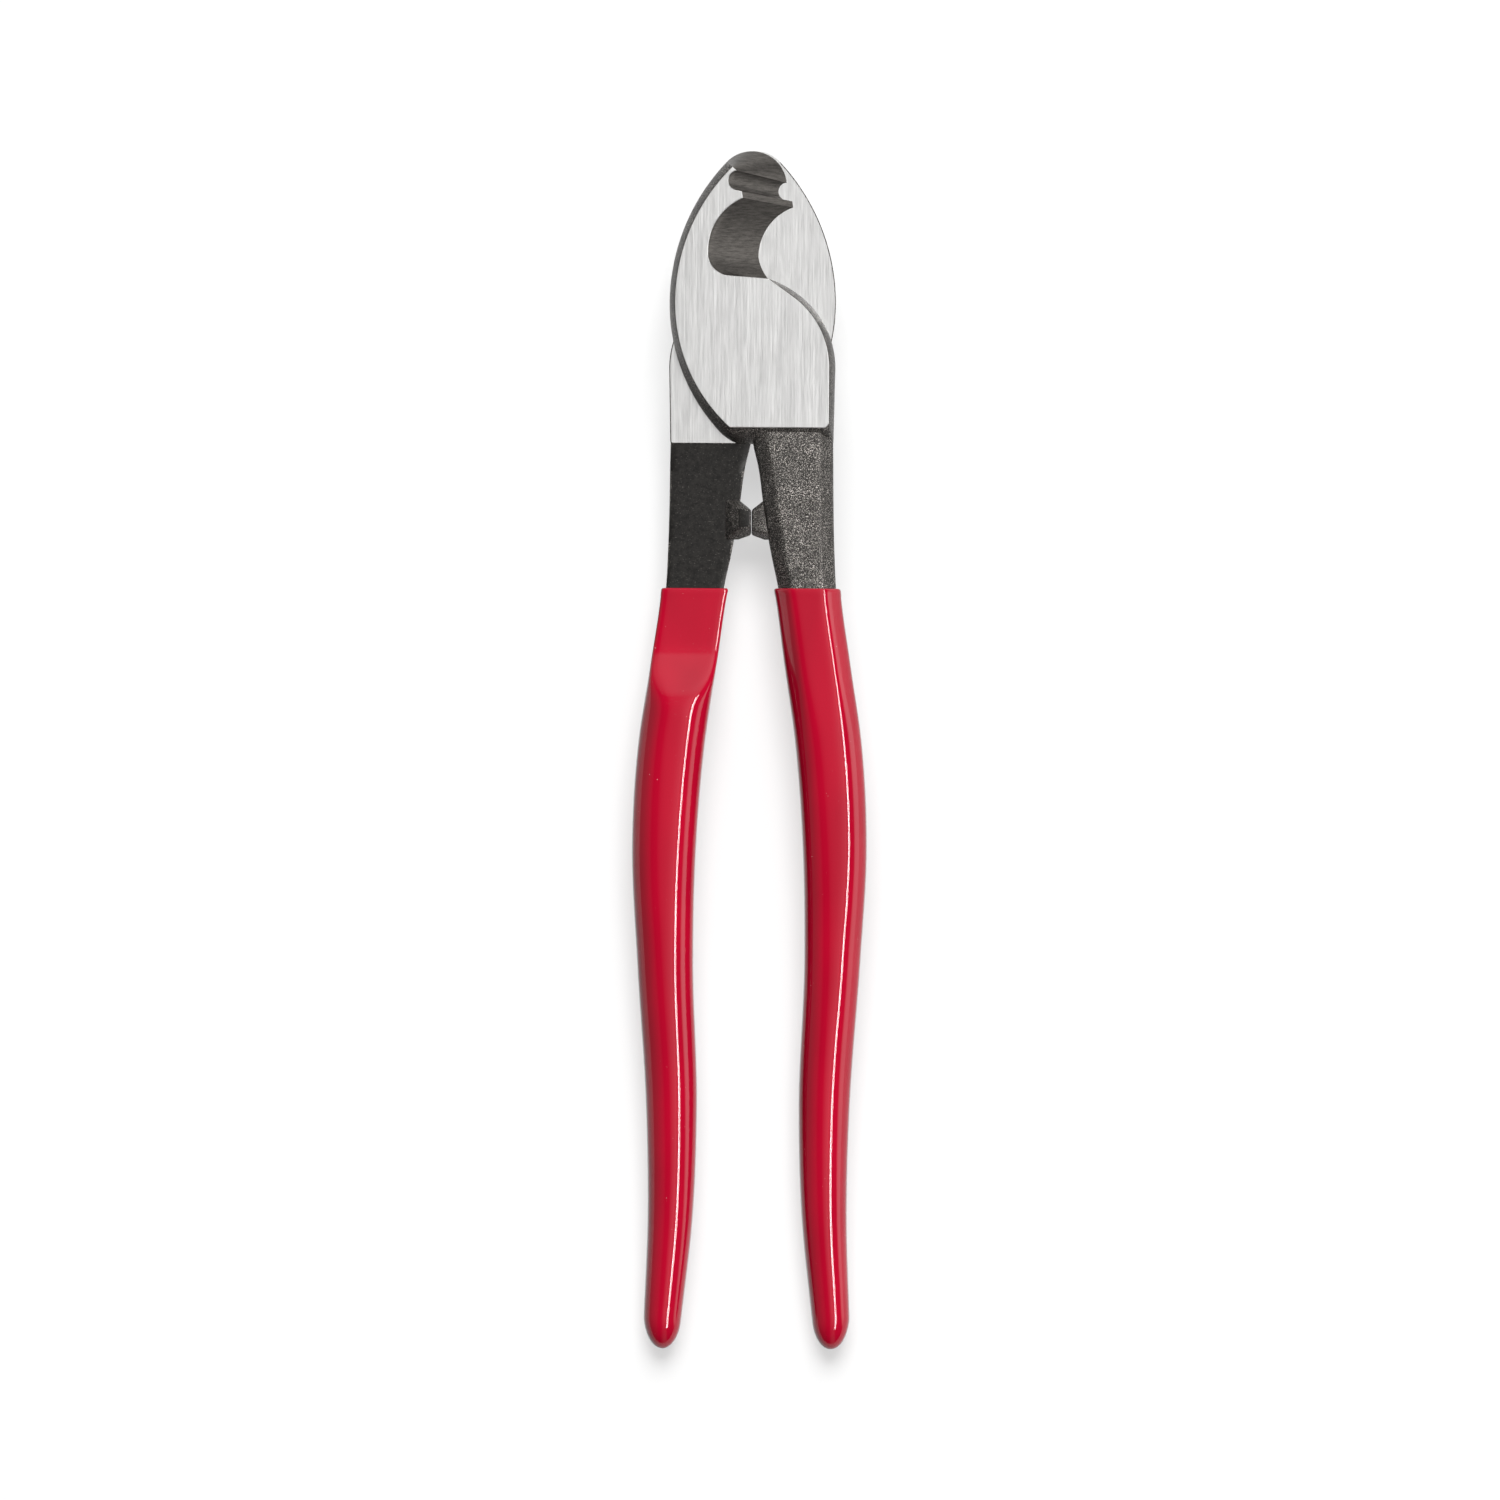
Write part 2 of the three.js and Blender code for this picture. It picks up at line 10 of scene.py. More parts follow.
import bmesh
import bpy
import numpy as np
from bpy.props import FloatProperty, FloatVectorProperty, PointerProperty
from mathutils import Matrix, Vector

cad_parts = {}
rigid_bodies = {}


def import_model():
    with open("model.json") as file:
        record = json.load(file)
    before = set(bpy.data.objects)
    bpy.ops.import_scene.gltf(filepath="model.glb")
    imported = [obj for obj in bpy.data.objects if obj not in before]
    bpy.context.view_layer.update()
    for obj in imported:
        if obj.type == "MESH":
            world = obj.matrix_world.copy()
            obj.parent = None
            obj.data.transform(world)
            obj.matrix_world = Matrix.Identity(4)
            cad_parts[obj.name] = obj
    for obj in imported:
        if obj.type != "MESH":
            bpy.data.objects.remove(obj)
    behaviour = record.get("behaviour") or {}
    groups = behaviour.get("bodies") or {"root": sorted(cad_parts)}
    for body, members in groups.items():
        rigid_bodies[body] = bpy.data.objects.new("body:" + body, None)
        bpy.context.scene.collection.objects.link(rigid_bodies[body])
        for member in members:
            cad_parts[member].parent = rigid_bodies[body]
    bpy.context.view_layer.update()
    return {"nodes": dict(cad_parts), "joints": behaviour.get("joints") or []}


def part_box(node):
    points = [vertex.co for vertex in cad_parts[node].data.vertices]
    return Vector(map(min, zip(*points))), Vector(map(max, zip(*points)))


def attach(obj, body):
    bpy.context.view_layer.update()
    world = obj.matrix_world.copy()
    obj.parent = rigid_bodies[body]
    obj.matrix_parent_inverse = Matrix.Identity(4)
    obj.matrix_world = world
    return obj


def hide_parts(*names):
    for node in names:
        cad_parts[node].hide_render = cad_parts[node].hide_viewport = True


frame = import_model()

bl_info = {
    "name": "Lap-joint cable cutters",
    "version": (1, 0, 0),
    "blender": (4, 5, 0),
    "location": "3D View > Sidebar > Cutters",
    "description": "Builds the forged levers, dipped grips and pivot of a pair of cable cutters",
    "category": "Add Mesh",
}

MM = 0.001

# ---- Read from the frame, about the pivot axis and the lap plane ----

PIVOT = np.array(frame["joints"][0]["pos_m"])
FRONT, REAR = frame["joints"][0]["parent"], frame["joints"][0]["child"]


def span(node):
    """Lowest and highest corner of a node of the frame, about the pivot."""
    low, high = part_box(node)
    return np.array(low) - PIVOT, np.array(high) - PIVOT


LEVER_LOW, LEVER_HIGH = span("front_lever")
GRIP_LOW, GRIP_HIGH = span("front_grip")
STUD_LOW, STUD_HIGH = span("pivot_stud")
WASHER_LOW, WASHER_HIGH = span("bearing_washer")
SPRING_LOW, SPRING_HIGH = span("disc_spring")
NUT_LOW, NUT_HIGH = span("pivot_nut")
SCREW_LOW, SCREW_HIGH = span("nut_lock_screw")
TIP = LEVER_HIGH[1]
FLANK = -LEVER_LOW[0]
PLATE = LEVER_HIGH[2]
MOUTH = GRIP_HIGH[1]
GRIP_END = GRIP_LOW[1]
TANG_END = LEVER_LOW[1]
GRIP_LENGTH = MOUTH - GRIP_END

# Slots of a lever's materials
BLACK, GROUND, MILLED, LAP_SIDE = range(4)

# Points round a turned piece and round a bar's section, and rings through the head's thickness
SIDES = 128
HEAD_RINGS = 17
# Share of a face's normal along Z from which it counts as square to Z
SQUARE = 0.99999
# Share of a forged face's normal along Z from which it belongs to the bar's flat lap side
LAP_SIDE_SHARE = 0.9
# Points nearer than this are one point, and edges shorter than this are none
SAME_POINT = 1e-7
NO_EDGE = 1e-8


# ---- Sizes and colours that can be changed ----

def size(name, description, millimetres):
    """A length that the sidebar shows in the scene's units."""
    return FloatProperty(
        name=name, description=description, default=millimetres * MM, unit="LENGTH", precision=5)


def colour(name, description, value):
    """A linear colour."""
    return FloatVectorProperty(
        name=name, description=description, default=value, subtype="COLOR", min=0, max=1)


class HeadSizes(bpy.types.PropertyGroup):
    """The forged and ground head of a lever."""
    tip_radius: size("Tip radius", "Radius of the tip's arc", 7)
    tip_facet: size("Tip facet", "From the tip down to the ground face's point", 3.4)
    widest: size("Widest", "Height of the widest place above the pivot axis", 11)
    rim: size("Rim", "Width of the slanted forged rim at the flank", 1.15)
    shoulder_rim: size("Shoulder rim", "Width of the rim down the shoulder", 1.3)
    lap_end: size("Lap end", "Lap face's lower end, below the pivot axis", 17.2)
    face_end: size("Face end", "Ground face's lower end, below the pivot axis", 14)
    face_round: size("Face round", "Radius of the ground face's lower corner", 1.2)
    lap_round: size("Lap round", "Radius of the lap face's outer corner", 0.5)
    lap_gap: size("Lap gap", "From the lap plane to each lap face", 0.05)
    face_edge: size("Face edge", "Broken edge round the ground face", 0.13)
    lap_edge: size("Lap edge", "Broken edge round the lap face, clear of the bite", 0.2)
    rim_power: FloatProperty(name="Rim power", description="Roundness of the forged rim", default=2.3)


class BiteSizes(bpy.types.PropertyGroup):
    """The bite that is ground slanting through the head."""
    lean: size("Lean", "How far the bite runs sideways through the plate", 10.1)
    drop: size("Drop", "How far it runs down at the heel", 0.7)
    taper: FloatProperty(name="Taper", description="More drop for each length above the heel", default=0.06)
    notch_drop: size("Notch drop", "Tip to the middle of the small notch", 6.1)
    notch_radius: size("Notch radius", "Radius of the small notch", 2)
    lip: size("Lip", "Height of the step under the notch", 1.3)


class BarSizes(bpy.types.PropertyGroup):
    """The shank and tang under the head."""
    crown: size("Crown", "Lap plane to the shank's outer face", 6.15)
    back: size("Back", "Lap plane to the shank's inner face", 0.35)
    corner_cut: size("Corner cut", "Bevel along the corners", 2.6)
    ramp_start: size("Ramp start", "Where the full depth begins, below the pivot axis", 58.8)
    ramp_angle: FloatProperty(
        name="Ramp angle", description="Slope of the ramp", default=math.radians(32), subtype="ANGLE")
    crisp_top: FloatProperty(name="Crispness at the shank", description="Power of the octagon", default=26)
    crisp_end: FloatProperty(name="Crispness at the end", description="Power of the octagon", default=6)


class LugSizes(bpy.types.PropertyGroup):
    """The stop lugs that meet when the jaws are shut."""
    top: size("Top", "Upper end on the shank, below the pivot axis", 28.3)
    length: size("Length", "Length along the shank", 8.2)
    depth: size("Depth", "From the contact face into the shank", 5.2)
    reach: size("Reach", "Each way from the lap plane", 3)
    round: size("Round", "Rounding of its edges", 0.45)


class GripSizes(bpy.types.PropertyGroup):
    """The dipped plastic sleeves."""
    wall: size("Wall", "Thickness of the sleeve", 0.8)
    gap: size("Gap", "Tang to sleeve", 0.1)
    dome: size("Dome", "Length of the domed end", 6.8)
    bead: size("Bead", "How far the lip at the mouth swells", 0.05)
    crease: size("Crease", "Softness of the fold at the foot of the ramp", 0.5)
    crisp_top: FloatProperty(name="Crispness at the mouth", description="Power of the octagon", default=17)
    crisp_end: FloatProperty(name="Crispness at the end", description="Power of the octagon", default=6)


class PivotSizes(bpy.types.PropertyGroup):
    """Stud, washer, spring, nut and lock screw."""
    seat_radius: size("Seat radius", "Stud's root in the front lever", 5)
    journal_radius: size("Journal radius", "Stud in the rear lever", 6)
    thread_radius: size("Thread radius", "Stud's threaded end", 5)
    thread_pitch: size("Thread pitch", "Rise of each turn", 1)
    play: size("Play", "Round what turns or slides in", 0.1)
    spot_play: size("Spot face play", "Round the washer", 0.5)
    spot_depth: size("Spot face depth", "Depth of the washer's pocket", 2.4)
    chamfer: size("Chamfer", "Broken edges of the small parts", 0.25)
    spring_cone: size("Spring cone", "Rise of the spring from bore to rim", 0.3)
    across_flats: size("Across flats", "Nut", 16)
    nut_chamfer: size("Nut chamfer", "Height of the cone over the nut's corners", 0.8)
    slot_width: size("Slot width", "Screwdriver slot in the stud", 1.2)
    slot_depth: size("Slot depth", "Screwdriver slot in the stud", 1)
    socket: size("Socket", "Hexagon socket of the lock screw, across corners over two", 0.75)
    socket_depth: size("Socket depth", "Depth of the hexagon socket", 1.2)


class Finishes(bpy.types.PropertyGroup):
    """Colours of the finishes."""
    ground: colour("Ground steel", "Light ground faces", (0.76, 0.755, 0.745))
    black: colour("Blackened forging", "Dark forged surfaces", (0.028, 0.026, 0.024))
    fleck: colour("Fleck", "Bare grains in the blackened forging", (0.42, 0.39, 0.36))
    milled: colour("Milled bevel", "Bite's slanting surface", (0.095, 0.088, 0.081))
    plastic: colour("Dipped plastic", "Red sleeves", (0.255, 0.0015, 0.013))
    plated: colour("Plated steel", "Stud, washer and nut", (0.52, 0.51, 0.48))
    oxide: colour("Oxide", "Spring and lock screw", (0.07, 0.065, 0.06))


class StageSizes(bpy.types.PropertyGroup):
    """Camera, floor and lights."""
    frame_width: size("Frame width", "Width of the camera's view at the lap plane", 300.6)
    lens: FloatProperty(name="Lens", description="Focal length in mm", default=400)
    roll: FloatProperty(name="Roll", description="Camera's roll", default=math.radians(0.35), subtype="ANGLE")
    floor: colour("Floor", "Pale floor", (0.47, 0.47, 0.47))
    glow: FloatProperty(name="Glow", description="Light of its own, as a light table's", default=0.03)
    floor_size: size("Floor size", "Side of the floor", 12000)


class CutterSettings(bpy.types.PropertyGroup):
    """Everything above."""
    head: PointerProperty(type=HeadSizes)
    bite: PointerProperty(type=BiteSizes)
    bar: PointerProperty(type=BarSizes)
    lug: PointerProperty(type=LugSizes)
    grip: PointerProperty(type=GripSizes)
    pivot: PointerProperty(type=PivotSizes)
    finish: PointerProperty(type=Finishes)
    stage: PointerProperty(type=StageSizes)


# ---- Meshes from grids ----

def placed(points, half_turn=False):
    """Points about the pivot put in the frame, after half a turn about the long axis for the rear half."""
    turn = np.array([-1.0, 1.0, -1.0]) if half_turn else np.ones(3)
    return points * turn + PIVOT


def grid_faces(rows, columns, loop_rows):
    """Quads of a grid whose columns run round, and whose rows run round too where loop_rows is set."""
    row = np.arange(rows if loop_rows else rows - 1)[:, None]
    column = np.arange(columns)[None, :]
    after = (column + 1) % columns
    here = row * columns
    above = (row + 1) % rows * columns
    return np.stack([here + column, here + after, above + after, above + column], axis=-1).reshape(-1, 4)


def signed_volume(points, loop_rows):
    """Volume that a grid and its two end caps enclose, negative where the faces look inwards.

    It is a sixth of the sum, over triangles, of one corner times the cross product of the others.
    """
    rows, columns = points.shape[:2]
    flat = points.reshape(-1, 3)
    quads = grid_faces(rows, columns, loop_rows)
    a, b, c, d = (flat[quads[:, k]] for k in range(4))
    total = np.einsum("ij,ij->", a, np.cross(b, c)) + np.einsum("ij,ij->", a, np.cross(c, d))
    if not loop_rows:
        for ring, way in ((points[0], -1), (points[-1], 1)):
            middle = ring.mean(axis=0)
            total += way * np.einsum("ij,j->", np.cross(ring, np.roll(ring, -1, axis=0)), middle)
    return total / 6


def grid_object(name, points, loop_rows=False, slots=None, cap_slots=(0, 0)):
    """A closed mesh from a grid of points: quads between rows, and a flat cap or a pole at each end.

    Rows that shrink to a point are welded into a pole. The grid is turned over if it encloses a
    negative volume, so that the faces look outwards.
    """
    rows, columns = points.shape[:2]
    flip = signed_volume(points, loop_rows) < 0
    faces = grid_faces(rows, columns, loop_rows)
    slots = np.zeros(len(faces), int) if slots is None else slots.reshape(-1)
    caps = []
    if not loop_rows:
        caps = [np.arange(columns)[::-1], np.arange(columns) + (rows - 1) * columns]
        slots = np.concatenate([slots, cap_slots])
    if flip:
        faces = faces[:, ::-1]
        caps = [cap[::-1] for cap in caps]
    mesh = bpy.data.meshes.new(name)
    mesh.from_pydata(points.reshape(-1, 3), [], faces.tolist() + [cap.tolist() for cap in caps])
    mesh.polygons.foreach_set("material_index", slots.astype(np.int32))
    weld(mesh)
    return linked(name, mesh)


def weld(mesh):
    """Merges points that coincide and drops the faces that vanish with them."""
    shape = bmesh.new()
    shape.from_mesh(mesh)
    bmesh.ops.remove_doubles(shape, verts=shape.verts, dist=SAME_POINT)
    bmesh.ops.dissolve_degenerate(shape, edges=shape.edges, dist=NO_EDGE)
    shape.to_mesh(mesh)
    shape.free()


def linked(name, mesh):
    """A new object of a mesh, at the origin."""
    piece = bpy.data.objects.new(name, mesh)
    bpy.context.scene.collection.objects.link(piece)
    return piece


def applied(piece):
    """The piece with its modifiers made real."""
    graph = bpy.context.evaluated_depsgraph_get()
    mesh = bpy.data.meshes.new_from_object(piece.evaluated_get(graph))
    piece.modifiers.clear()
    old, piece.data = piece.data, mesh
    bpy.data.meshes.remove(old)
    return piece


def joined(piece, others, operation):
    """The piece joined with the others, or cut by them; the others are used up."""
    for other in others:
        step = piece.modifiers.new(other.name, "BOOLEAN")
        step.operation, step.object, step.solver = operation, other, "EXACT"
    applied(piece)
    for other in others:
        bpy.data.objects.remove(other)
    return piece


def clad(piece, materials, slot=None):
    """The piece with these materials, and with one of them on all its faces where a slot is given."""
    mesh = piece.data
    slots = np.zeros(len(mesh.polygons), np.int32)
    mesh.polygons.foreach_get("material_index", slots)
    mesh.materials.clear()
    for material in materials:
        mesh.materials.append(material)
    mesh.polygons.foreach_set("material_index", slots if slot is None else np.full_like(slots, slot))
    return piece


def finished(piece, body, node, materials, sharp=30):
    """Gives the piece its finishes, smooths it up to an angle, and rides it in its node's place.

    Faces square to Z stay flat.
    """
    mesh = clad(piece, materials).data
    normal = np.zeros(len(mesh.polygons) * 3)
    mesh.polygons.foreach_get("normal", normal)
    mesh.polygons.foreach_set("use_smooth", np.abs(normal[2::3]) < SQUARE)
    mesh.set_sharp_from_angle(angle=math.radians(sharp))
    mesh.update()
    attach(piece, body)
    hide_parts(node)
    return piece


def turned(name, profile, loop_rows=False):
    """A solid of revolution about Z: each [radius, height] of the profile carried round a circle."""
    radius, height = np.array(profile, float).T
    angle = np.linspace(0, 2 * np.pi, SIDES, endpoint=False)
    x = radius[:, None] * np.cos(angle)
    y = radius[:, None] * np.sin(angle)
    z = np.broadcast_to(height[:, None], x.shape)
    return grid_object(name, placed(np.stack([x, y, z], axis=-1)), loop_rows)


# ---- Head ----

def arc(start, end, bow, steps):
    """Points of a circular arc from start up to, but without, end.

    It bows to the right of its way by the given height: with the half turn h = 2 atan(2 bow / chord),
    a point lies r sin(t) along the chord and r cos(t) - r + bow beside it, t running from -h to h.
    """
    start, end = np.array(start), np.array(end)
    share = np.arange(steps) / steps
    chord = end - start
    length = np.hypot(*chord)
    if bow == 0 or length == 0:
        return start + share[:, None] * chord
    half = 2 * math.atan(2 * bow / length)
    radius = length / 2 / math.sin(half)
    turn = half * (2 * share - 1)
    along = chord / length
    right = np.array([along[1], -along[0]])
    beside = radius * np.cos(turn) - radius + bow
    return (start + end) / 2 + np.outer(radius * np.sin(turn), along) + np.outer(beside, right)


def side_bow(side, end):
    """Bow of the arc that leaves the point `side` along Y and ends at `end`.

    Its radius is the chord squared over twice the run in X, and the bow is the radius less its
    distance from the chord.
    """
    chord = math.dist(side, end)
    radius = chord * chord / (2 * abs(end[0] - side[0]))
    return radius - math.sqrt(radius * radius - chord * chord / 4)


def head_edges(s):
    """The head's edges, counterclockwise from the right end of the tip's arc.

    Each is (steps, finish, lap face: from, to, bow, ground face: from, to, bow). Points of the ground
    face are named face_..., but for the bite's and the notch's, which the lap face takes leant.
    """
    h, b = s.head, s.bite

    def at(x, y):
        """A point in mm from the pivot axis."""
        return np.array([x, y]) * MM

    def up(x, y):
        """A point whose X is in mm and whose Y is worked out from a size."""
        return np.array([x * MM, y])

    deepest, heel_turn = at(-9, 21.3), at(-5.1, 16.4)

    def leant(point):
        """A point of the bite's outline, carried down from the ground face to the lap face."""
        drop = b.drop + b.taper * (point[1] - heel_turn[1])
        return point + np.array([b.lean, -drop])

    tip_middle = up(-0.3, TIP - h.tip_radius)
    tip_start, tip_end = math.radians(6), math.radians(138)
    tip_right = tip_middle + h.tip_radius * np.array([math.cos(tip_start), math.sin(tip_start)])
    tip_left = tip_middle + h.tip_radius * np.array([math.cos(tip_end), math.sin(tip_end)])
    tip_bow = h.tip_radius * (1 - math.cos((tip_end - tip_start) / 2))
    face_point = up(-4.2, TIP - h.tip_facet)
    notch_y, slant = TIP - b.notch_drop, 0.2 * MM
    notch_top, notch_low = up(-3.4, notch_y + b.notch_radius), up(-3.1, notch_y - b.notch_radius)
    step_top = up(-2.3, notch_low[1] - slant)
    step_low = step_top + np.array([slant, -b.lip])
    heel, face_heel = at(3.1, 15.9), at(3.07, 15.75)
    top, face_top = at(8.6, 13.2), at(8.3, 12.0)
    flank, face_flank = np.array([-FLANK, h.widest]), np.array([-FLANK + h.rim, h.widest])
    cheek, face_cheek = at(-6.8, -14.4), up(-4.4, -h.face_end)
    lap_inner, face_inner = up(-2.6, -h.lap_end), face_cheek + np.array([h.face_round, 0])
    shoulder_y, draft = -2 * MM, 0.3 * MM
    side, face_side = FLANK - draft, FLANK - h.shoulder_rim
    lap_outer = np.array([side - h.lap_round, -h.lap_end])
    lap_turn = np.array([side, h.lap_round - h.lap_end])
    face_outer = np.array([face_side - h.face_round, -h.face_end])
    face_turn = np.array([face_side, h.face_round - h.face_end])
    shoulder, face_shoulder = np.array([FLANK, shoulder_y]), np.array([face_side, shoulder_y])
    quarter = 1 - math.sqrt(0.5)
    lap_bow, face_bow = quarter * h.lap_round, quarter * h.face_round
    foot_bow, top_bow, heel_bow, face_heel_bow = 0.35 * MM, 0.25 * MM, 0.35 * MM, 1.25 * MM
    bite_bow, notch_bow = 1.9 * MM, 0.9 * b.notch_radius
    return [
        (64, MILLED, tip_right, tip_left, tip_bow, notch_top, face_point, 0),
        (48, BLACK, tip_left, flank, side_bow(flank, tip_left), face_point, face_flank,
         side_bow(face_flank, face_point)),
        (48, BLACK, flank, cheek, side_bow(flank, cheek), face_flank, face_cheek,
         side_bow(face_flank, face_cheek)),
        (10, BLACK, cheek, lap_inner, foot_bow, face_cheek, face_inner, 0),
        (16, BLACK, lap_inner, lap_outer, 0, face_inner, face_outer, 0),
        (10, BLACK, lap_outer, lap_turn, lap_bow, face_outer, face_turn, face_bow),
        (12, BLACK, lap_turn, shoulder, 0, face_turn, face_shoulder, 0),
        (40, BLACK, shoulder, top, side_bow(shoulder, top), face_shoulder, face_top,
         side_bow(face_shoulder, face_top)),
        (16, BLACK, top, heel, top_bow, face_top, face_heel, 0),
        (12, MILLED, heel, heel, 0, face_heel, heel_turn, 0),
        (24, MILLED, heel, leant(deepest), -heel_bow, heel_turn, deepest, -face_heel_bow),
        (40, MILLED, leant(deepest), leant(step_low), -bite_bow, deepest, step_low, -bite_bow),
        (6, MILLED, leant(step_low), leant(step_top), 0, step_low, step_top, 0),
        (4, MILLED, leant(step_top), leant(notch_low), 0, step_top, notch_low, 0),
        (24, MILLED, leant(notch_low), tip_right, -notch_bow, notch_low, notch_top, -notch_bow),
    ]


def inset(outline, depth):
    """An outline moved inwards, each point square to the mean of the directions of its two sides."""
    side = np.roll(outline, -1, axis=0) - outline
    side /= np.maximum(np.hypot(side[:, 0], side[:, 1]), 1e-9)[:, None]
    along = side + np.roll(side, 1, axis=0)
    length = np.maximum(np.hypot(along[:, 0], along[:, 1]), 1e-9)
    outward = np.stack([along[:, 1], -along[:, 0]], axis=-1) / length[:, None]
    return outline - outward * np.broadcast_to(depth, len(outline))[:, None]


def head(s, half_turn):
    """The head as rings from the lap face to the ground face.

    A ring at share v of the thickness lies between the two outlines, at v along the bite and the tip
    and at v to a power along the forged rim, with a broken edge at each face.
    """
    h = s.head
    edges = head_edges(s)
    lap = np.concatenate([arc(e[2], e[3], e[4], e[0]) for e in edges])
    face = np.concatenate([arc(e[5], e[6], e[7], e[0]) for e in edges])
    finish = np.concatenate([np.full(e[0], e[1]) for e in edges])
    forged = finish == BLACK
    height = np.linspace(0, 1, HEAD_RINGS)[:, None]
    share = np.where(forged, height ** h.rim_power, height)
    rings = lap + (face - lap) * share[:, :, None]
    lap_edge = np.where(forged, h.lap_edge, 0.0)
    rings = np.concatenate([inset(lap, lap_edge)[None], rings, inset(face, h.face_edge)[None]])
    low, high = h.lap_gap, PLATE
    z = low + (high - low) * np.broadcast_to(height, share.shape)
    z[0] = low + lap_edge
    z[-1] = high - h.face_edge
    z = np.concatenate([np.full((1, len(lap)), low), z, np.full((1, len(lap)), high)])
    points = np.concatenate([rings, z[:, :, None]], axis=-1)
    slots = np.broadcast_to(finish, (len(points) - 1, len(lap))).copy()
    slots[-1] = GROUND
    return grid_object("head", placed(points, half_turn), slots=slots, cap_slots=(GROUND, GROUND))


# ---- Shank, tang and grip ----

# centre X, drop below the pivot axis, half width, all in mm
SHANK = np.array([
    [7.9, 11, 8.1], [8.3, 17.5, 8.0], [8.75, 21, 7.6], [9.45, 30, 7.0], [10.2, 38, 6.45], [11.25, 46.1, 5.8],
])
# centre X, share of the grip's length, half width, half depth
TANG = np.array([
    [13.4, 0.1, 5.75, 6.15], [15.65, 0.2, 5.8, 6.1], [17.1, 0.34, 5.55, 5.8], [16.75, 0.49, 4.75, 5.3],
    [15.3, 0.68, 4.25, 4.8], [15.45, 0.83, 3.65, 4.3], [16.85, 0.96, 2.95, 3.5],
])
# A section's inner point leaves the lap plane this far below the pivot axis, and is midway between
# the shank's two faces this much higher
LIFT_FOOT = 78 * MM
LIFT_LENGTH = 16 * MM
TANG_CREASE = 0.1 * MM


def through(keys, values, at):
    """A cubic curve through the stations, whose slope at each is the stations' own gradient there."""
    order = np.argsort(keys)
    keys, values = keys[order], values[order]
    slope = np.gradient(values, keys)
    at = np.clip(at, keys[0], keys[-1])
    i = np.clip(np.searchsorted(keys, at) - 1, 0, len(keys) - 2)
    length = keys[i + 1] - keys[i]
    t = (at - keys[i]) / length
    left = (1 - t) ** 2 * ((1 + 2 * t) * values[i] + t * length * slope[i])
    return left + t ** 2 * ((3 - 2 * t) * values[i + 1] + (t - 1) * length * slope[i + 1])


def bar_at(s, y):
    """Centre, half width and half depth of the bar at heights y."""
    tang_y = MOUTH - TANG[:, 1] * GRIP_LENGTH
    keys = np.concatenate([-SHANK[:, 1] * MM, tang_y])
    centre = through(keys, np.concatenate([SHANK[:, 0], TANG[:, 0]]) * MM, y)
    width = through(keys, np.concatenate([SHANK[:, 2], TANG[:, 2]]) * MM, y)
    crowns = np.full(len(SHANK), s.bar.crown)
    depth = through(keys, np.concatenate([crowns, TANG[:, 3] * MM]), y)
    return centre, width, depth


def bar_rings(s, y, growth, scale, crisp, crease):
    """Sections of the bar at heights y, grown outwards all round, as a grid of points.

    A section is a rounded octagon cut off at the lap side: seen from a point inside it, the distance
    to the skin in a direction is one over the power mean of (cosine to a side's normal / distance to
    that side), over the eight sides and the lap side, which falls away below the ramp's foot.
    """
    bar = s.bar
    centre, width, depth = bar_at(s, y)
    cut = np.minimum(bar.corner_cut, (2 - math.sqrt(2)) * np.minimum(width, depth))
    corner = (width + depth - cut) * math.sqrt(0.5)
    reach = np.stack([width, corner, depth, corner] * 2) + growth
    slope = math.tan(bar.ramp_angle)
    foot = -bar.ramp_start + growth * math.tan(bar.ramp_angle / 2)
    below = crease * np.logaddexp(0, (foot - y) / crease)
    lap_side = bar.back - growth - slope * below
    rise = np.clip((y + LIFT_FOOT) / LIFT_LENGTH, 0, 1)
    inner = (bar.crown + bar.back) / 2 * rise ** 2 * (3 - 2 * rise)
    normals = np.concatenate([np.arange(8) * np.pi / 4, [-np.pi / 2]])
    distance = np.concatenate([reach, -lap_side[None]]) - np.sin(normals)[:, None] * inner
    along = np.clip((MOUTH - y) / GRIP_LENGTH, 0, 1)
    power = (crisp[0] + (crisp[1] - crisp[0]) * along)[:, None]
    angle = np.linspace(0, 2 * np.pi, SIDES, endpoint=False)
    total = np.zeros((len(y), SIDES))
    for normal, away in zip(normals, distance):
        towards = np.maximum(np.cos(angle - normal), 0) / away[:, None]
        total += towards ** power
    radius = scale[:, None] * total ** (-1 / power)
    x = centre[:, None] + radius * np.cos(angle)
    z = inner[:, None] + radius * np.sin(angle)
    return np.stack([x, np.broadcast_to(y[:, None], x.shape), z], axis=-1)


def shank_and_tang(s, half_turn):
    """The bar from inside the head to the tang's end."""
    y = np.concatenate([
        np.linspace(-SHANK[0, 1] * MM, MOUTH, 60, endpoint=False),
        np.linspace(MOUTH, TANG_END, 90),
    ])
    none = np.zeros(len(y))
    crisp = (s.bar.crisp_top, s.bar.crisp_end)
    points = bar_rings(s, y, none, none + 1, crisp, TANG_CREASE)
    return grid_object("bar", placed(points, half_turn))


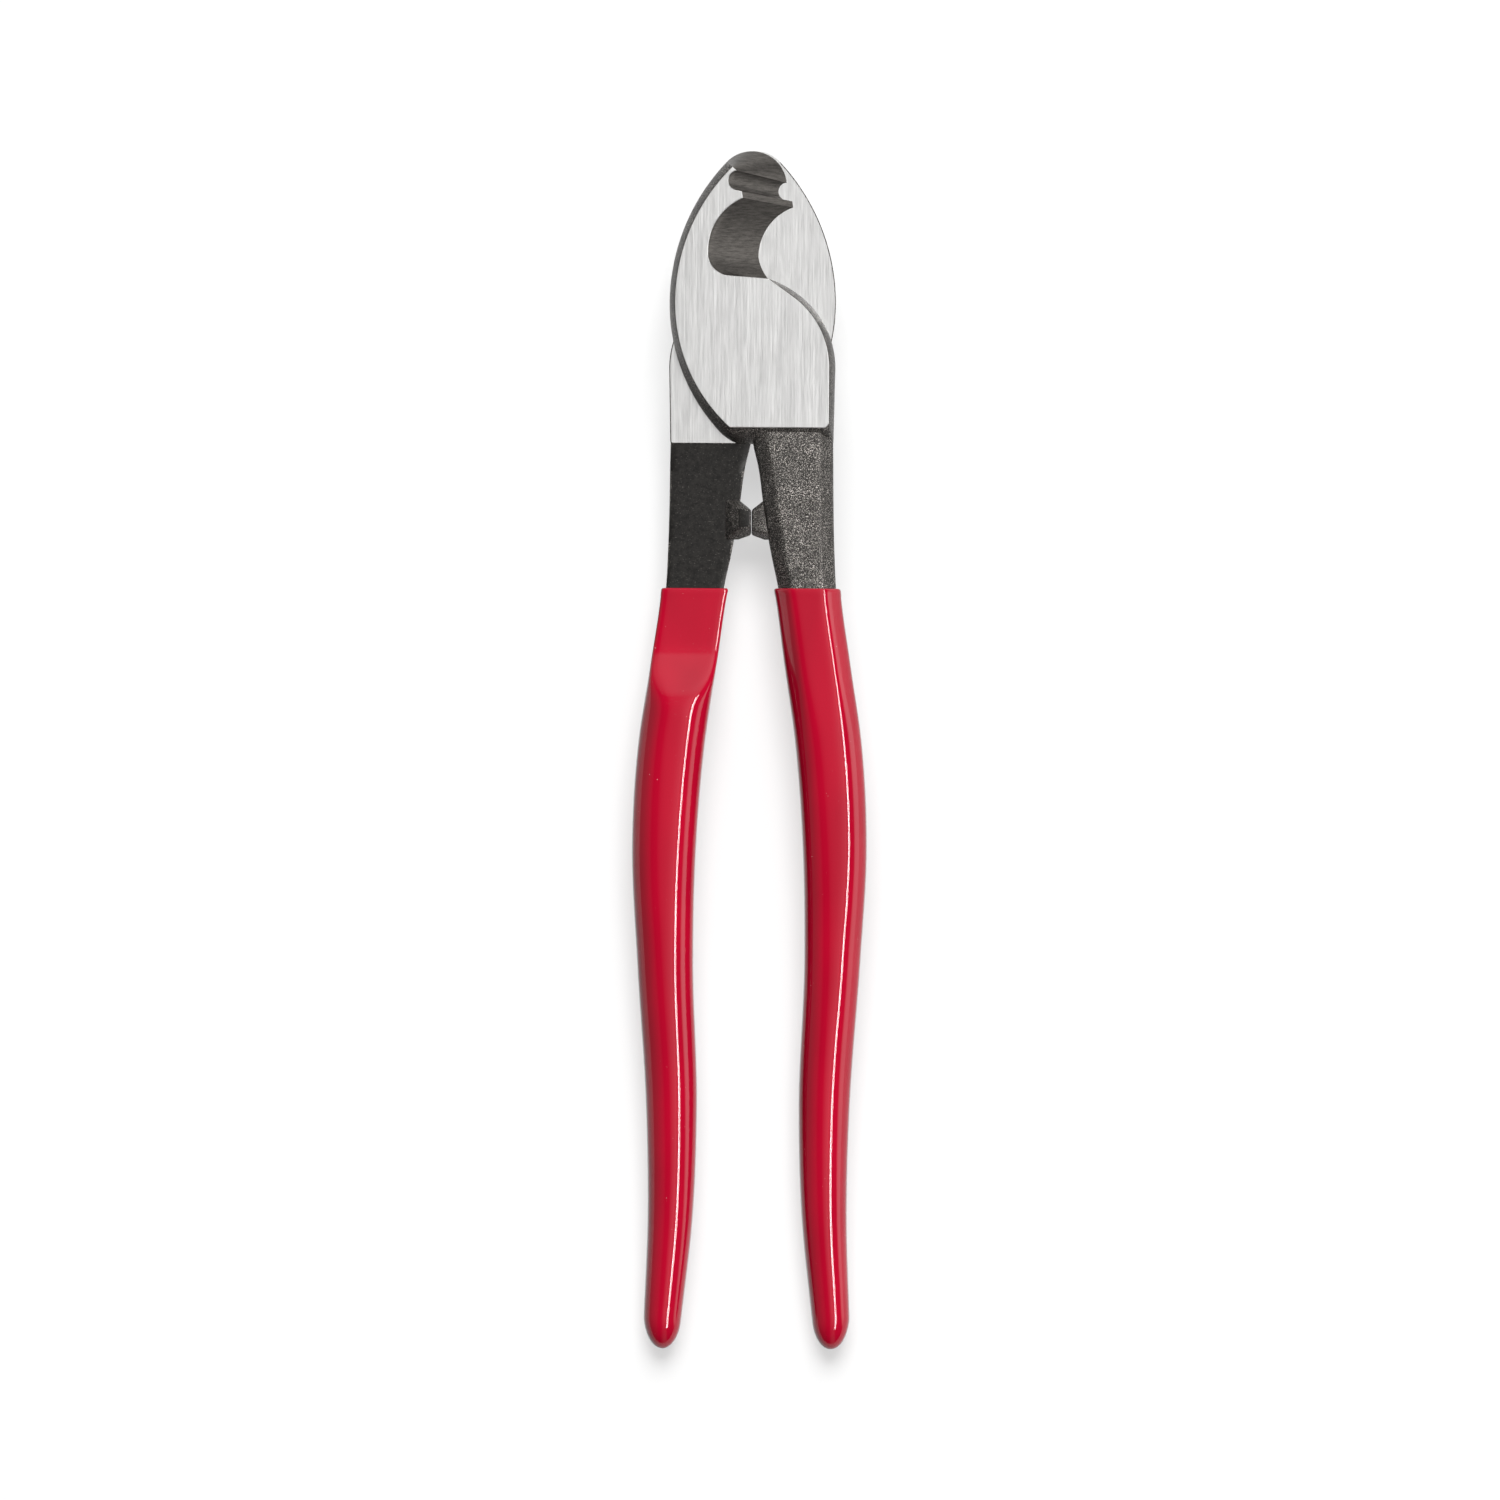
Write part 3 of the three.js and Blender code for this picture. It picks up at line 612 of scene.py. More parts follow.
def stop_lug(s, half_turn):
    """A six-sided block in three rings: blunt tip past the lap plane, root at the shank, and crown."""
    lug = s.lug
    face, low = s.head.lap_gap, lug.top + lug.length

    def ring(z, depth, contact_low, flank_top, flank_low, contact_top=2.1):
        """Contact face and flank at height z, their upper and lower ends shortened by so many mm."""
        near, far = face + depth / 2, face + depth
        top, foot = -lug.top - flank_top * MM, -low + flank_low * MM
        return [
            [face, -lug.top - contact_top * MM, z], [face, -low + contact_low * MM, z],
            [near, foot, z], [far, foot, z], [far, top, z], [near, top, z],
        ]

    points = np.array([
        ring(-lug.reach, lug.depth / 2, contact_low=2.6, flank_top=1.9, flank_low=2.6),
        ring(s.bar.back, lug.depth, contact_low=1, flank_top=0, flank_low=0),
        ring(lug.reach, lug.depth, contact_low=1.9, flank_top=0.2, flank_low=1.5),
    ])
    piece = grid_object("lug", placed(points, half_turn))
    soft = piece.modifiers.new("soft", "BEVEL")
    soft.width, soft.segments = lug.round, 4
    return applied(piece)


def forged_lever(s, name, half_turn):
    """Head, bar and lug as one forging."""
    finishes = lever_finishes(s)
    parts = [clad(part(s, half_turn), finishes) for part in (head, shank_and_tang, stop_lug)]
    lever = joined(parts[0], parts[1:], "UNION")
    lever.name = name
    return lever


def lap_side_faces(mesh, half_turn):
    """Gives the flat lap side of the bar its own material, darker by painted shade: the forged faces that
    look past the lap plane.
    """
    count = len(mesh.polygons)
    normal, slots = np.zeros(count * 3), np.zeros(count, np.int32)
    mesh.polygons.foreach_get("normal", normal)
    mesh.polygons.foreach_get("material_index", slots)
    outwards = normal[2::3] * (1 if half_turn else -1)
    slots[(outwards > LAP_SIDE_SHARE) & (slots == BLACK)] = LAP_SIDE
    mesh.polygons.foreach_set("material_index", slots)


def dipped_grip(s, name, half_turn):
    """The sleeve as one skin: cavity floor, inner wall, rounded lip, outer wall and domed end.

    The lip is a half circle between the walls, swollen by a bell curve under it, and the rows down
    the outside stand closest where the ramp folds.
    """
    grip = s.grip
    middle, half = grip.gap + grip.wall / 2, grip.wall / 2
    outside = grip.gap + grip.wall
    floor_y, lip_y = TANG_END - grip.gap, MOUTH - half
    fold_top, fold_foot = MOUTH - 8 * MM, MOUTH - 28 * MM
    bead_y, bead_spread = MOUTH - 0.9 * MM, 0.8 * MM
    straight_end = GRIP_END + grip.dome
    inner_y = np.linspace(floor_y, lip_y, 60)
    turn = np.linspace(np.pi, 0, 13)[1:-1]
    outer_y = np.concatenate([
        np.linspace(lip_y, fold_top, 16, endpoint=False),
        np.linspace(fold_top, fold_foot, 64, endpoint=False),
        np.linspace(fold_foot, straight_end, 110),
    ])
    dome = np.sin(np.linspace(0, np.pi / 2, 25)[1:]) * np.pi / 2
    y = np.concatenate([
        [floor_y], inner_y, lip_y + half * np.sin(turn), outer_y, straight_end - grip.dome * np.sin(dome),
    ])
    swell = grip.bead * np.exp(-((outer_y - bead_y) / bead_spread) ** 2)
    growth = np.concatenate([
        np.full(1 + len(inner_y), grip.gap), middle + half * np.cos(turn), outside + swell,
        np.full(len(dome), outside),
    ])
    scale = np.concatenate([[0], np.ones(len(y) - 1 - len(dome)), np.cos(dome)])
    scale[-1] = 0
    points = bar_rings(s, y, growth, scale, (grip.crisp_top, grip.crisp_end), grip.crease)
    return grid_object(name, placed(points, half_turn))


# ---- Pivot ----

def threaded(radius, tooth, pitch, along):
    """[radius, place] points down a thread, whose radius dips by a rounded tooth in each pitch."""
    dip = 0.5 - 0.5 * np.cos(2 * np.pi * along / pitch)
    return np.stack([radius - tooth * dip, along], axis=-1)


def hexagon(angle):
    """A hexagon's radius over that to its flats: one over the cosine to the nearest flat's normal."""
    sixth = np.pi / 3
    return 1 / np.cos((angle + sixth / 2) % sixth - sixth / 2)


def pivot_stud(s):
    """Root, journal and threaded end in one turned piece, with a screwdriver slot across its end."""
    p = s.pivot
    tooth, run_out, shake = 0.3 * MM, 0.2 * MM, 0.03 * MM
    core, lead = p.thread_radius - tooth, 1.6 * p.chamfer
    end, root = STUD_LOW[2], STUD_HIGH[2]
    shoulder, journal_end = s.head.lap_gap - shake, WASHER_LOW[2] + shake
    along = np.linspace(end + lead, journal_end - run_out, 96)
    piece = turned("pivot_stud_turned", [
        [0, end], [core - lead, end], *threaded(p.thread_radius, tooth, p.thread_pitch, along),
        [core, journal_end], [p.journal_radius - p.chamfer, journal_end],
        [p.journal_radius, journal_end + p.chamfer], [p.journal_radius, shoulder], [p.seat_radius, shoulder],
        [p.seat_radius, root - lead], [p.seat_radius - lead, root], [0, root],
    ])
    corners = np.array([[-1, -1], [1, -1], [1, 1], [-1, 1]]) * [2 * p.thread_radius, p.slot_width / 2]
    slot = np.array([[[x, y, end + z] for x, y in corners] for z in (-p.slot_depth, p.slot_depth)])
    return joined(piece, [grid_object("slot", placed(slot))], "DIFFERENCE")


def ring_profile(bore, rim, low, high, chamfer):
    """Profile of a flat ring with broken edges, closed on itself."""
    return [
        [bore + chamfer, low], [rim - chamfer, low], [rim, low + chamfer], [rim, high - chamfer],
        [rim - chamfer, high], [bore + chamfer, high], [bore, high - chamfer], [bore, low + chamfer],
    ]


def bearing_washer(s):
    """A flat ring round the journal."""
    p = s.pivot
    bore, rim = p.journal_radius + p.play, WASHER_HIGH[0]
    profile = ring_profile(bore, rim, WASHER_LOW[2], WASHER_HIGH[2], 0.6 * p.chamfer)
    return turned("bearing_washer_ring", profile, loop_rows=True)


def disc_spring(s):
    """A ring whose height rises evenly from its bore to its rim."""
    p = s.pivot
    bore, rim = p.thread_radius + 2 * p.play, SPRING_HIGH[0]
    flat = np.array(ring_profile(bore, rim, SPRING_LOW[2], SPRING_HIGH[2] - p.spring_cone, 0.5 * p.chamfer))
    flat[:, 1] += p.spring_cone * (flat[:, 0] - bore) / (rim - bore)
    return turned("disc_spring_ring", flat, loop_rows=True)


def pivot_nut(s):
    """A hexagon nut as a grid: radius is the lesser of the hexagon's and a cone's over the corners.

    The rows run up the outside and down the chamfered bore.
    """
    p = s.pivot
    low, high = NUT_LOW[2], NUT_HIGH[2]
    flat, bore, lead = p.across_flats / 2, p.thread_radius + p.play / 2, 0.5 * MM
    face, corner = flat - 0.2 * MM, flat / math.cos(np.pi / 6)
    angle = np.linspace(0, 2 * np.pi, 216, endpoint=False)
    height = np.concatenate([np.linspace(0, 1.2 * p.nut_chamfer, 14), [high - low]])
    cone = face + (corner - face) * height / p.nut_chamfer
    outside = np.minimum(flat * hexagon(angle), cone[:, None])
    inside = np.array([[bore + lead, high], [bore, high - lead], [bore, low + lead], [bore + lead, low]])
    radius = np.concatenate([outside, np.broadcast_to(inside[:, :1], (len(inside), len(angle)))])
    z = np.broadcast_to(np.concatenate([low + height, inside[:, 1]])[:, None], radius.shape)
    points = np.stack([radius * np.cos(angle), radius * np.sin(angle), z], axis=-1)
    nut = grid_object("pivot_nut_hexagon", placed(points), loop_rows=True)
    screw_hole, flare, start = 1.3 * MM, 0.3 * MM, bore - 1 * MM
    hole = across_bar("hole", [
        [0, start], [screw_hole, start], [screw_hole, flat - flare], [screw_hole + 2 * flare, flat + flare],
        [0, flat + flare],
    ])
    return joined(nut, [hole], "DIFFERENCE")


def across_bar(name, profile, socket_rows=()):
    """A solid of revolution about the X axis at the nut's mid height, from [radius, distance] points.

    Rows named in socket_rows are hexagons instead of circles.
    """
    radius, distance = np.array(profile, float).T
    angle = np.linspace(0, 2 * np.pi, 96, endpoint=False)
    rings = np.broadcast_to(radius[:, None], (len(radius), len(angle))).copy()
    rings[list(socket_rows)] *= math.cos(np.pi / 6) * hexagon(angle)
    middle = (NUT_LOW[2] + NUT_HIGH[2]) / 2
    x = np.broadcast_to(distance[:, None], rings.shape)
    points = np.stack([x, rings * np.cos(angle), middle + rings * np.sin(angle)], axis=-1)
    return grid_object(name, placed(points))


def lock_screw(s):
    """A grub screw with a hexagon socket and threaded flanks."""
    p = s.pivot
    start, end, radius = SCREW_LOW[0], SCREW_HIGH[0], SCREW_HIGH[1]
    pitch, tooth, lead, point_lead = 0.45 * MM, 0.12 * MM, 0.2 * MM, 0.3 * MM
    countersink, mouth, bottom = 0.12 * MM, end - 0.1 * MM, end - p.socket_depth
    drill_point = bottom - 0.2 * MM
    along = np.linspace(start + lead, end - lead, 60)
    profile = [
        [0, start], [radius - point_lead, start], *threaded(radius, tooth, pitch, along),
        [radius - lead, end], [p.socket + countersink, end], [p.socket, mouth], [p.socket, bottom],
        [0, drill_point],
    ]
    return across_bar("nut_lock_screw_grub", profile, (len(profile) - 3, len(profile) - 2))


# ---- Finishes ----

class Nodes:
    """A material's node tree, with one short call for each node."""

    def __init__(self, name):
        self.material = bpy.data.materials.new(name)
        self.material.use_nodes = True
        self.tree = self.material.node_tree
        self.shader = self.tree.nodes["Principled BSDF"]
        self.coordinates = self.tree.nodes.new("ShaderNodeTexCoord").outputs["Object"]

    def link(self, source, node, name):
        self.tree.links.new(source, node.inputs[name])

    def stretched(self, scale):
        """Object coordinates, multiplied along each axis."""
        node = self.tree.nodes.new("ShaderNodeMapping")
        node.inputs["Scale"].default_value = scale
        self.link(self.coordinates, node, "Vector")
        return node.outputs["Vector"]

    def noise(self, scale, detail=3.0, roughness=0.55, distortion=0.0):
        """Noise whose grains are 1 / scale metres along each axis."""
        node = self.tree.nodes.new("ShaderNodeTexNoise")
        node.inputs["Scale"].default_value = 1
        node.inputs["Detail"].default_value = detail
        node.inputs["Roughness"].default_value = roughness
        node.inputs["Distortion"].default_value = distortion
        self.link(self.stretched(scale), node, "Vector")
        return node.outputs["Fac"]

    def span(self, value, low, high, out_low=0.0, out_high=1.0):
        """A value from low to high brought to another range, and held there."""
        node = self.tree.nodes.new("ShaderNodeMapRange")
        for name, number in zip(("From Min", "From Max", "To Min", "To Max"), (low, high, out_low, out_high)):
            node.inputs[name].default_value = number
        self.link(value, node, "Value")
        return node.outputs["Result"]

    def math(self, operation, first, second):
        """Two values combined; the second may be a plain number."""
        node = self.tree.nodes.new("ShaderNodeMath")
        node.operation = operation
        self.tree.links.new(first, node.inputs[0])
        if isinstance(second, (int, float)):
            node.inputs[1].default_value = second
        else:
            self.tree.links.new(second, node.inputs[1])
        return node.outputs[0]

    def mix(self, share, first, second):
        """Between two colours, each a plain colour or an output."""
        node = self.tree.nodes.new("ShaderNodeMix")
        node.data_type = "RGBA"
        self.tree.links.new(share, node.inputs["Factor"])
        for name, value in (("A", first), ("B", second)):
            socket = next(x for x in node.inputs if x.name == name and x.type == "RGBA")
            if isinstance(value, bpy.types.NodeSocket):
                self.tree.links.new(value, socket)
            else:
                socket.default_value = (*value, 1)
        return next(x for x in node.outputs if x.type == "RGBA")

    def set(self, **values):
        """Plain values of the shader's sockets; an underscore stands for a space."""
        for name, value in values.items():
            self.shader.inputs[name.replace("_", " ")].default_value = value

    def base(self, colour):
        """The shader's colour."""
        self.link(colour, self.shader, "Base Color")

    def rough(self, value, low, high, out_low, out_high):
        """The shader's roughness, from a value brought to another range."""
        self.link(self.span(value, low, high, out_low, out_high), self.shader, "Roughness")

    def bump(self, height, distance, strength):
        """Relief of a height, its full range standing the given distance out."""
        node = self.tree.nodes.new("ShaderNodeBump")
        node.inputs["Distance"].default_value = distance
        node.inputs["Strength"].default_value = strength
        self.link(height, node, "Height")
        self.link(node.outputs["Normal"], self.shader, "Normal")


# Colour of the specks that stick to the plastic
DUST = (0.75, 0.45, 0.45)


def shade(value, factor):
    """A colour, lighter or darker by a factor."""
    return tuple(min(1.0, channel * factor) for channel in value)


def ground_steel(finish):
    """Fine grain along the tool, with broad soft streaks, from a flat grinder."""
    n = Nodes("ground_steel")
    grain = n.noise((5200, 130, 5200), detail=4, roughness=0.7)
    streak = n.noise((700, 26, 700), detail=2)
    stroke = n.span(n.noise((2600, 60, 2600), detail=2), 0.62, 0.74)
    both = n.math("ADD", n.math("MULTIPLY", grain, 0.6), n.math("MULTIPLY", streak, 0.4))
    tone = n.span(both, 0.36, 0.64)
    steel = n.mix(tone, shade(finish.ground, 0.91), shade(finish.ground, 1.07))
    n.base(n.mix(n.math("MULTIPLY", stroke, 0.35), steel, shade(finish.ground, 1.35)))
    n.rough(grain, 0.3, 0.7, 0.3, 0.42)
    n.set(Metallic=1.0)
    n.bump(grain, 0.012 * MM, 0.6)
    return n.material


def blackened_forging(finish):
    """Dark scale with bare grains that glint, on a fine pebbled skin."""
    n = Nodes("blackened_forging")
    pebble = n.noise((2600, 2600, 2600), detail=3, roughness=0.6)
    grain = n.noise((4800, 4800, 4800), detail=3, roughness=0.7)
    patch = n.noise((420, 260, 420), detail=3)
    flecks = n.math("MULTIPLY", n.span(grain, 0.54, 0.63), n.span(patch, 0.35, 0.62, 0.45, 1.0))
    base = n.mix(n.span(pebble, 0.35, 0.65), shade(finish.black, 0.3), shade(finish.black, 1.7))
    n.base(n.mix(flecks, base, finish.fleck))
    n.rough(grain, 0.35, 0.7, 0.55, 0.32)
    n.set(Metallic=0.6, Specular_IOR_Level=0.3)
    n.bump(n.math("ADD", pebble, n.math("MULTIPLY", grain, 0.6)), 0.11 * MM, 0.9)
    return n.material


def lap_side_painted_shade(finish):
    """The shank's flat inner side: smoother, with faint crossing scratches, and darker by painted shade, the
    shade beside the other lever's raised shank.
    """
    n = Nodes("lap_side_painted_shade")
    mottle = n.noise((1200, 1200, 1200), detail=5, roughness=0.7)
    fine = n.noise((4000, 4000, 4000), detail=2)
    scratch = n.span(n.noise((900, 4200, 900), detail=2, distortion=1.5), 0.68, 0.76)
    # Painted shade: the base runs darker than the blackened forging's
    base = n.mix(n.span(mottle, 0.35, 0.68), shade(finish.black, 0.2), shade(finish.black, 0.65))
    flecked = n.mix(n.span(fine, 0.64, 0.76, 0.0, 0.4), base, shade(finish.fleck, 0.5))
    n.base(n.mix(n.math("MULTIPLY", scratch, 0.3), flecked, shade(finish.fleck, 0.6)))
    n.rough(mottle, 0.3, 0.7, 0.5, 0.38)
    n.set(Metallic=0.3, Specular_IOR_Level=0.2)
    n.bump(n.math("ADD", mottle, n.math("MULTIPLY", fine, 0.4)), 0.03 * MM, 0.6)
    return n.material


def milled_bevel(finish):
    """Grey steel with cutter lines across the bite and a light scale left in them."""
    n = Nodes("milled_bevel")
    lines = n.noise((160, 3600, 900), detail=3, roughness=0.6)
    grain = n.noise((6500, 6500, 6500), detail=2)
    tone = n.math("ADD", n.math("MULTIPLY", lines, 0.65), n.math("MULTIPLY", grain, 0.35))
    n.base(n.mix(n.span(tone, 0.36, 0.64), shade(finish.milled, 0.62), shade(finish.milled, 1.45)))
    n.rough(grain, 0.3, 0.7, 0.46, 0.32)
    n.set(Metallic=0.9)
    n.bump(tone, 0.025 * MM, 0.7)
    return n.material


def dipped_plastic(finish):
    """Glossy soft plastic: even red, a slow swell in the skin and a few specks of dust."""
    n = Nodes("dipped_plastic")
    swell = n.noise((130, 45, 130), detail=1)
    skin = n.noise((1400, 1400, 1400), detail=2)
    dust = n.span(n.noise((1900, 1900, 1900), detail=1), 0.80, 0.84)
    base = n.mix(n.span(swell, 0.35, 0.65), shade(finish.plastic, 0.93), shade(finish.plastic, 1.06))
    n.base(n.mix(n.math("MULTIPLY", dust, 0.5), base, DUST))
    n.rough(skin, 0.3, 0.7, 0.03, 0.06)
    n.set(Specular_IOR_Level=0.42)
    n.bump(n.math("ADD", swell, n.math("MULTIPLY", skin, 0.01)), 0.03 * MM, 0.5)
    return n.material


def plated_steel(finish):
    """Bright plating with turning marks and a cloudy tint."""
    n = Nodes("plated_steel")
    cloud = n.noise((600, 600, 600), detail=4)
    marks = n.noise((900, 900, 9000), detail=2)
    n.base(n.mix(n.span(cloud, 0.35, 0.65), shade(finish.plated, 0.85), shade(finish.plated, 1.12)))
    n.rough(cloud, 0.3, 0.7, 0.24, 0.38)
    n.set(Metallic=1.0)
    n.bump(marks, 0.01 * MM, 0.5)
    return n.material


def black_oxide(finish):
    """Oiled black oxide on spring steel, rubbed a little lighter in patches."""
    n = Nodes("black_oxide")
    patch = n.noise((900, 900, 900), detail=4)
    grain = n.noise((8000, 8000, 8000), detail=2)
    n.base(n.mix(n.span(patch, 0.45, 0.75), finish.oxide, shade(finish.oxide, 2.4)))
    n.rough(patch, 0.3, 0.7, 0.34, 0.5)
    n.set(Metallic=0.8)
    n.bump(grain, 0.01 * MM, 0.5)
    return n.material


def made_once(maker, finish):
    """A finish's material, made the first time it is asked for."""
    return bpy.data.materials.get(maker.__name__) or maker(finish)


def lever_finishes(s):
    """A lever's materials, in the order of its slots."""
    makers = (blackened_forging, ground_steel, milled_bevel, lap_side_painted_shade)
    return [made_once(maker, s.finish) for maker in makers]


# ---- Stage ----

# Height up to which a point counts as on the ground, and how far the floor stays below the tool
TOUCHING = 0.01 * MM
FLOOR_GAP = 0.02 * MM


def resting_slope():
    """Where the nut's back ends towards the grips, and how steeply the ground under them rises from there.

    It is the least, over the grips' points, of height over distance from the nut's edge.
    """
    def points(node):
        mesh = frame["nodes"][node].data
        flat = np.zeros(len(mesh.vertices) * 3)
        mesh.vertices.foreach_get("co", flat)
        return flat.reshape(-1, 3)

    nut = points("pivot_nut")
    edge = nut[nut[:, 2] < TOUCHING][:, 1].min()
    grips = np.concatenate([points("front_grip"), points("rear_grip")])
    return edge, (grips[:, 2] / (edge - grips[:, 1])).min()


def floor(stage):
    """A flat floor that carries the nut's back and the grips: height falls evenly along Y."""
    edge, slope = resting_slope()
    squares = 8
    side = np.linspace(-0.5, 0.5, squares + 1) * stage.floor_size
    x, y = np.meshgrid(side, side)
    points = np.stack([x, y, slope * (edge - y) - FLOOR_GAP], axis=-1)
    number = np.arange(x.size).reshape(x.shape)
    corners = [number[:-1, :-1], number[:-1, 1:], number[1:, 1:], number[1:, :-1]]
    mesh = bpy.data.meshes.new("floor")
    mesh.from_pydata(points.reshape(-1, 3), [], np.stack(corners, axis=-1).reshape(-1, 4).tolist())
    n = Nodes("pale_floor")
    tone = n.noise((3, 3, 3), detail=1)
    n.base(n.mix(n.span(tone, 0.3, 0.7), shade(stage.floor, 0.99), shade(stage.floor, 1.01)))
    n.set(Roughness=0.95, Specular_IOR_Level=0.1, Emission_Color=(1, 1, 1, 1), Emission_Strength=stage.glow)
    mesh.materials.append(n.material)
    ground = linked("floor", mesh)
    ground.visible_diffuse = False


# How far a direction leans to the right, and its share of the brightest light: dim on the left, bright
# above and on the right, with a dark gap between two bright walls
SKY = (
    (-1, 0.15), (-0.6, 0.1), (-0.4, 0.01), (-0.12, 0.015), (0.12, 0.38),
    (0.26, 0.5), (0.42, 0.4), (0.5, 0.01), (0.92, 0.01), (0.97, 1),
)
# Each a range of a direction's Y or Z, and the range of brightness that it brings
RISE_AWAY = (-0.6, 0.1, 0.9, 3)
GLOW_BEYOND = (0.74, 0.86, 0, 0.8)
HORIZON = (-0.1, 0.02, 0.35, 1)
WALL = (0.95, 0.95, 0.95, 1)


def studio_world():
    """Soft light from above and from the right, dim on the left; the camera itself sees a pale wall.

    The light from a direction is the sky's share at its X, times a rise along Y, plus a glow far
    beyond the tip, and all of it falls off below the horizon.
    """
    world = bpy.data.worlds.new("studio")
    bpy.context.scene.world = world
    world.use_nodes = True
    tree = world.node_tree
    tree.nodes.clear()

    node = tree.nodes.new

    def held(value, low, high, out_low, out_high):
        """A value from low to high brought to another range, and held there."""
        made = node("ShaderNodeMapRange")
        for name, number in zip(("From Min", "From Max", "To Min", "To Max"), (low, high, out_low, out_high)):
            made.inputs[name].default_value = number
        tree.links.new(value, made.inputs["Value"])
        return made.outputs["Result"]

    def combined(operation, first, second):
        """Two outputs added or multiplied."""
        made = node("ShaderNodeMath")
        made.operation = operation
        tree.links.new(first, made.inputs[0])
        tree.links.new(second, made.inputs[1])
        return made.outputs[0]

    direction = node("ShaderNodeSeparateXYZ")
    tree.links.new(node("ShaderNodeTexCoord").outputs["Generated"], direction.inputs[0])
    right, away, height = (direction.outputs[axis] for axis in "XYZ")
    ramp = node("ShaderNodeValToRGB")
    tree.links.new(held(right, -1, 1, 0, 1), ramp.inputs["Fac"])
    stops = ramp.color_ramp.elements
    while len(stops) < len(SKY):
        stops.new(1)
    for stop, (x, share) in zip(stops, SKY):
        stop.position, stop.color = (x + 1) / 2, (share, share, share, 1)
    sky = combined("MULTIPLY", ramp.outputs["Color"], held(away, *RISE_AWAY))
    glowing = combined("ADD", sky, held(away, *GLOW_BEYOND))
    lit, seen = node("ShaderNodeBackground"), node("ShaderNodeBackground")
    tree.links.new(combined("MULTIPLY", glowing, held(height, *HORIZON)), lit.inputs["Strength"])
    seen.inputs["Color"].default_value = WALL
    chosen = node("ShaderNodeMixShader")
    tree.links.new(node("ShaderNodeLightPath").outputs["Is Camera Ray"], chosen.inputs[0])
    tree.links.new(lit.outputs[0], chosen.inputs[1])
    tree.links.new(seen.outputs[0], chosen.inputs[2])
    tree.links.new(chosen.outputs[0], node("ShaderNodeOutputWorld").inputs["Surface"])


def softbox(name, azimuth, elevation, distance, width, length, radiance):
    """A rectangular light that faces the tool, its length along Y where it stands to one side.

    Power is four times radiance times area, so that a softbox keeps its brightness when resized.
    """
    data = bpy.data.lights.new(name, "AREA")
    data.shape, data.size, data.size_y = "RECTANGLE", width, length
    data.energy = 4 * radiance * width * length
    light = bpy.data.objects.new(name, data)
    a, e = math.radians(azimuth), math.radians(elevation)
    back = np.array([math.cos(e) * math.cos(a), math.cos(e) * math.sin(a), math.sin(e)])
    side = np.cross([0.0, 1.0, 0.0], back)
    side /= np.linalg.norm(side)
    up = np.cross(back, side)
    rows = np.stack([side, up, back, back * distance], axis=-1)
    light.matrix_world = Matrix([*rows.tolist(), [0, 0, 0, 1]])
    light.visible_camera = False
    bpy.context.scene.collection.objects.link(light)
    return light


def camera(stage):
    """A long lens straight above the tool."""
    data = bpy.data.cameras.new("camera")
    data.lens = stage.lens
    view = bpy.data.objects.new("camera", data)
    height = stage.frame_width * stage.lens / data.sensor_width
    view.location = (0, 0, PIVOT[2] + height)
    view.rotation_euler = (0, 0, stage.roll)
    bpy.context.scene.collection.objects.link(view)
    bpy.context.scene.camera = view


# ---- Operators ----

class CUTTERS_OT_levers(bpy.types.Operator):
    """Both forged levers, the front one with a blind seat and the rear one with a bore and a spot face"""
    bl_idname = "cutters.levers"
    bl_label = "Forged levers"

    def execute(self, context):
        s = context.scene.cutters
        p = s.pivot
        finishes = lever_finishes(s)
        past, edge = 1 * MM, p.chamfer
        seat, seat_top = p.seat_radius + p.play, STUD_HIGH[2] + p.play
        bore, spot = p.journal_radius + p.play, WASHER_HIGH[0] + p.spot_play
        spot_floor = p.spot_depth - PLATE
        blind = turned("seat", [[0, -past], [seat, -past], [seat, seat_top], [0, seat_top]])
        through_bore = turned("bore", [[0, -PLATE - past], [bore, -PLATE - past], [bore, past], [0, past]])
        pocket = turned("spot_face", [
            [0, -PLATE - past], [spot + past + edge, -PLATE - past], [spot + edge, -PLATE],
            [spot, edge - PLATE], [spot, spot_floor], [0, spot_floor],
        ])
        for node, body, half_turn, cutters in (
            ("front_lever", FRONT, False, (blind,)),
            ("rear_lever", REAR, True, (through_bore, pocket)),
        ):
            lever = forged_lever(s, node + "_forging", half_turn)
            joined(lever, [clad(cutter, finishes, MILLED) for cutter in cutters], "DIFFERENCE")
            lap_side_faces(lever.data, half_turn)
            finished(lever, body, node, finishes, sharp=24)
        return {"FINISHED"}


class CUTTERS_OT_grips(bpy.types.Operator):
    """Both dipped plastic sleeves"""
    bl_idname = "cutters.grips"
    bl_label = "Dipped grips"

    def execute(self, context):
        s = context.scene.cutters
        red = [made_once(dipped_plastic, s.finish)]
        for node, body, half_turn in (("front_grip", FRONT, False), ("rear_grip", REAR, True)):
            sleeve = dipped_grip(s, node + "_sleeve", half_turn)
            finished(sleeve, body, node, red, sharp=50)
        return {"FINISHED"}


class CUTTERS_OT_stud(bpy.types.Operator):
    """The pivot stud"""
    bl_idname = "cutters.stud"
    bl_label = "Pivot stud"

    def execute(self, context):
        s = context.scene.cutters
        finished(pivot_stud(s), FRONT, "pivot_stud", [made_once(plated_steel, s.finish)])
        return {"FINISHED"}


class CUTTERS_OT_rings(bpy.types.Operator):
    """The bearing washer and the disc spring"""
    bl_idname = "cutters.rings"
    bl_label = "Washer and spring"

    def execute(self, context):
        s = context.scene.cutters
        plated, oxide = made_once(plated_steel, s.finish), made_once(black_oxide, s.finish)
        finished(bearing_washer(s), FRONT, "bearing_washer", [plated])
        finished(disc_spring(s), FRONT, "disc_spring", [oxide])
        return {"FINISHED"}


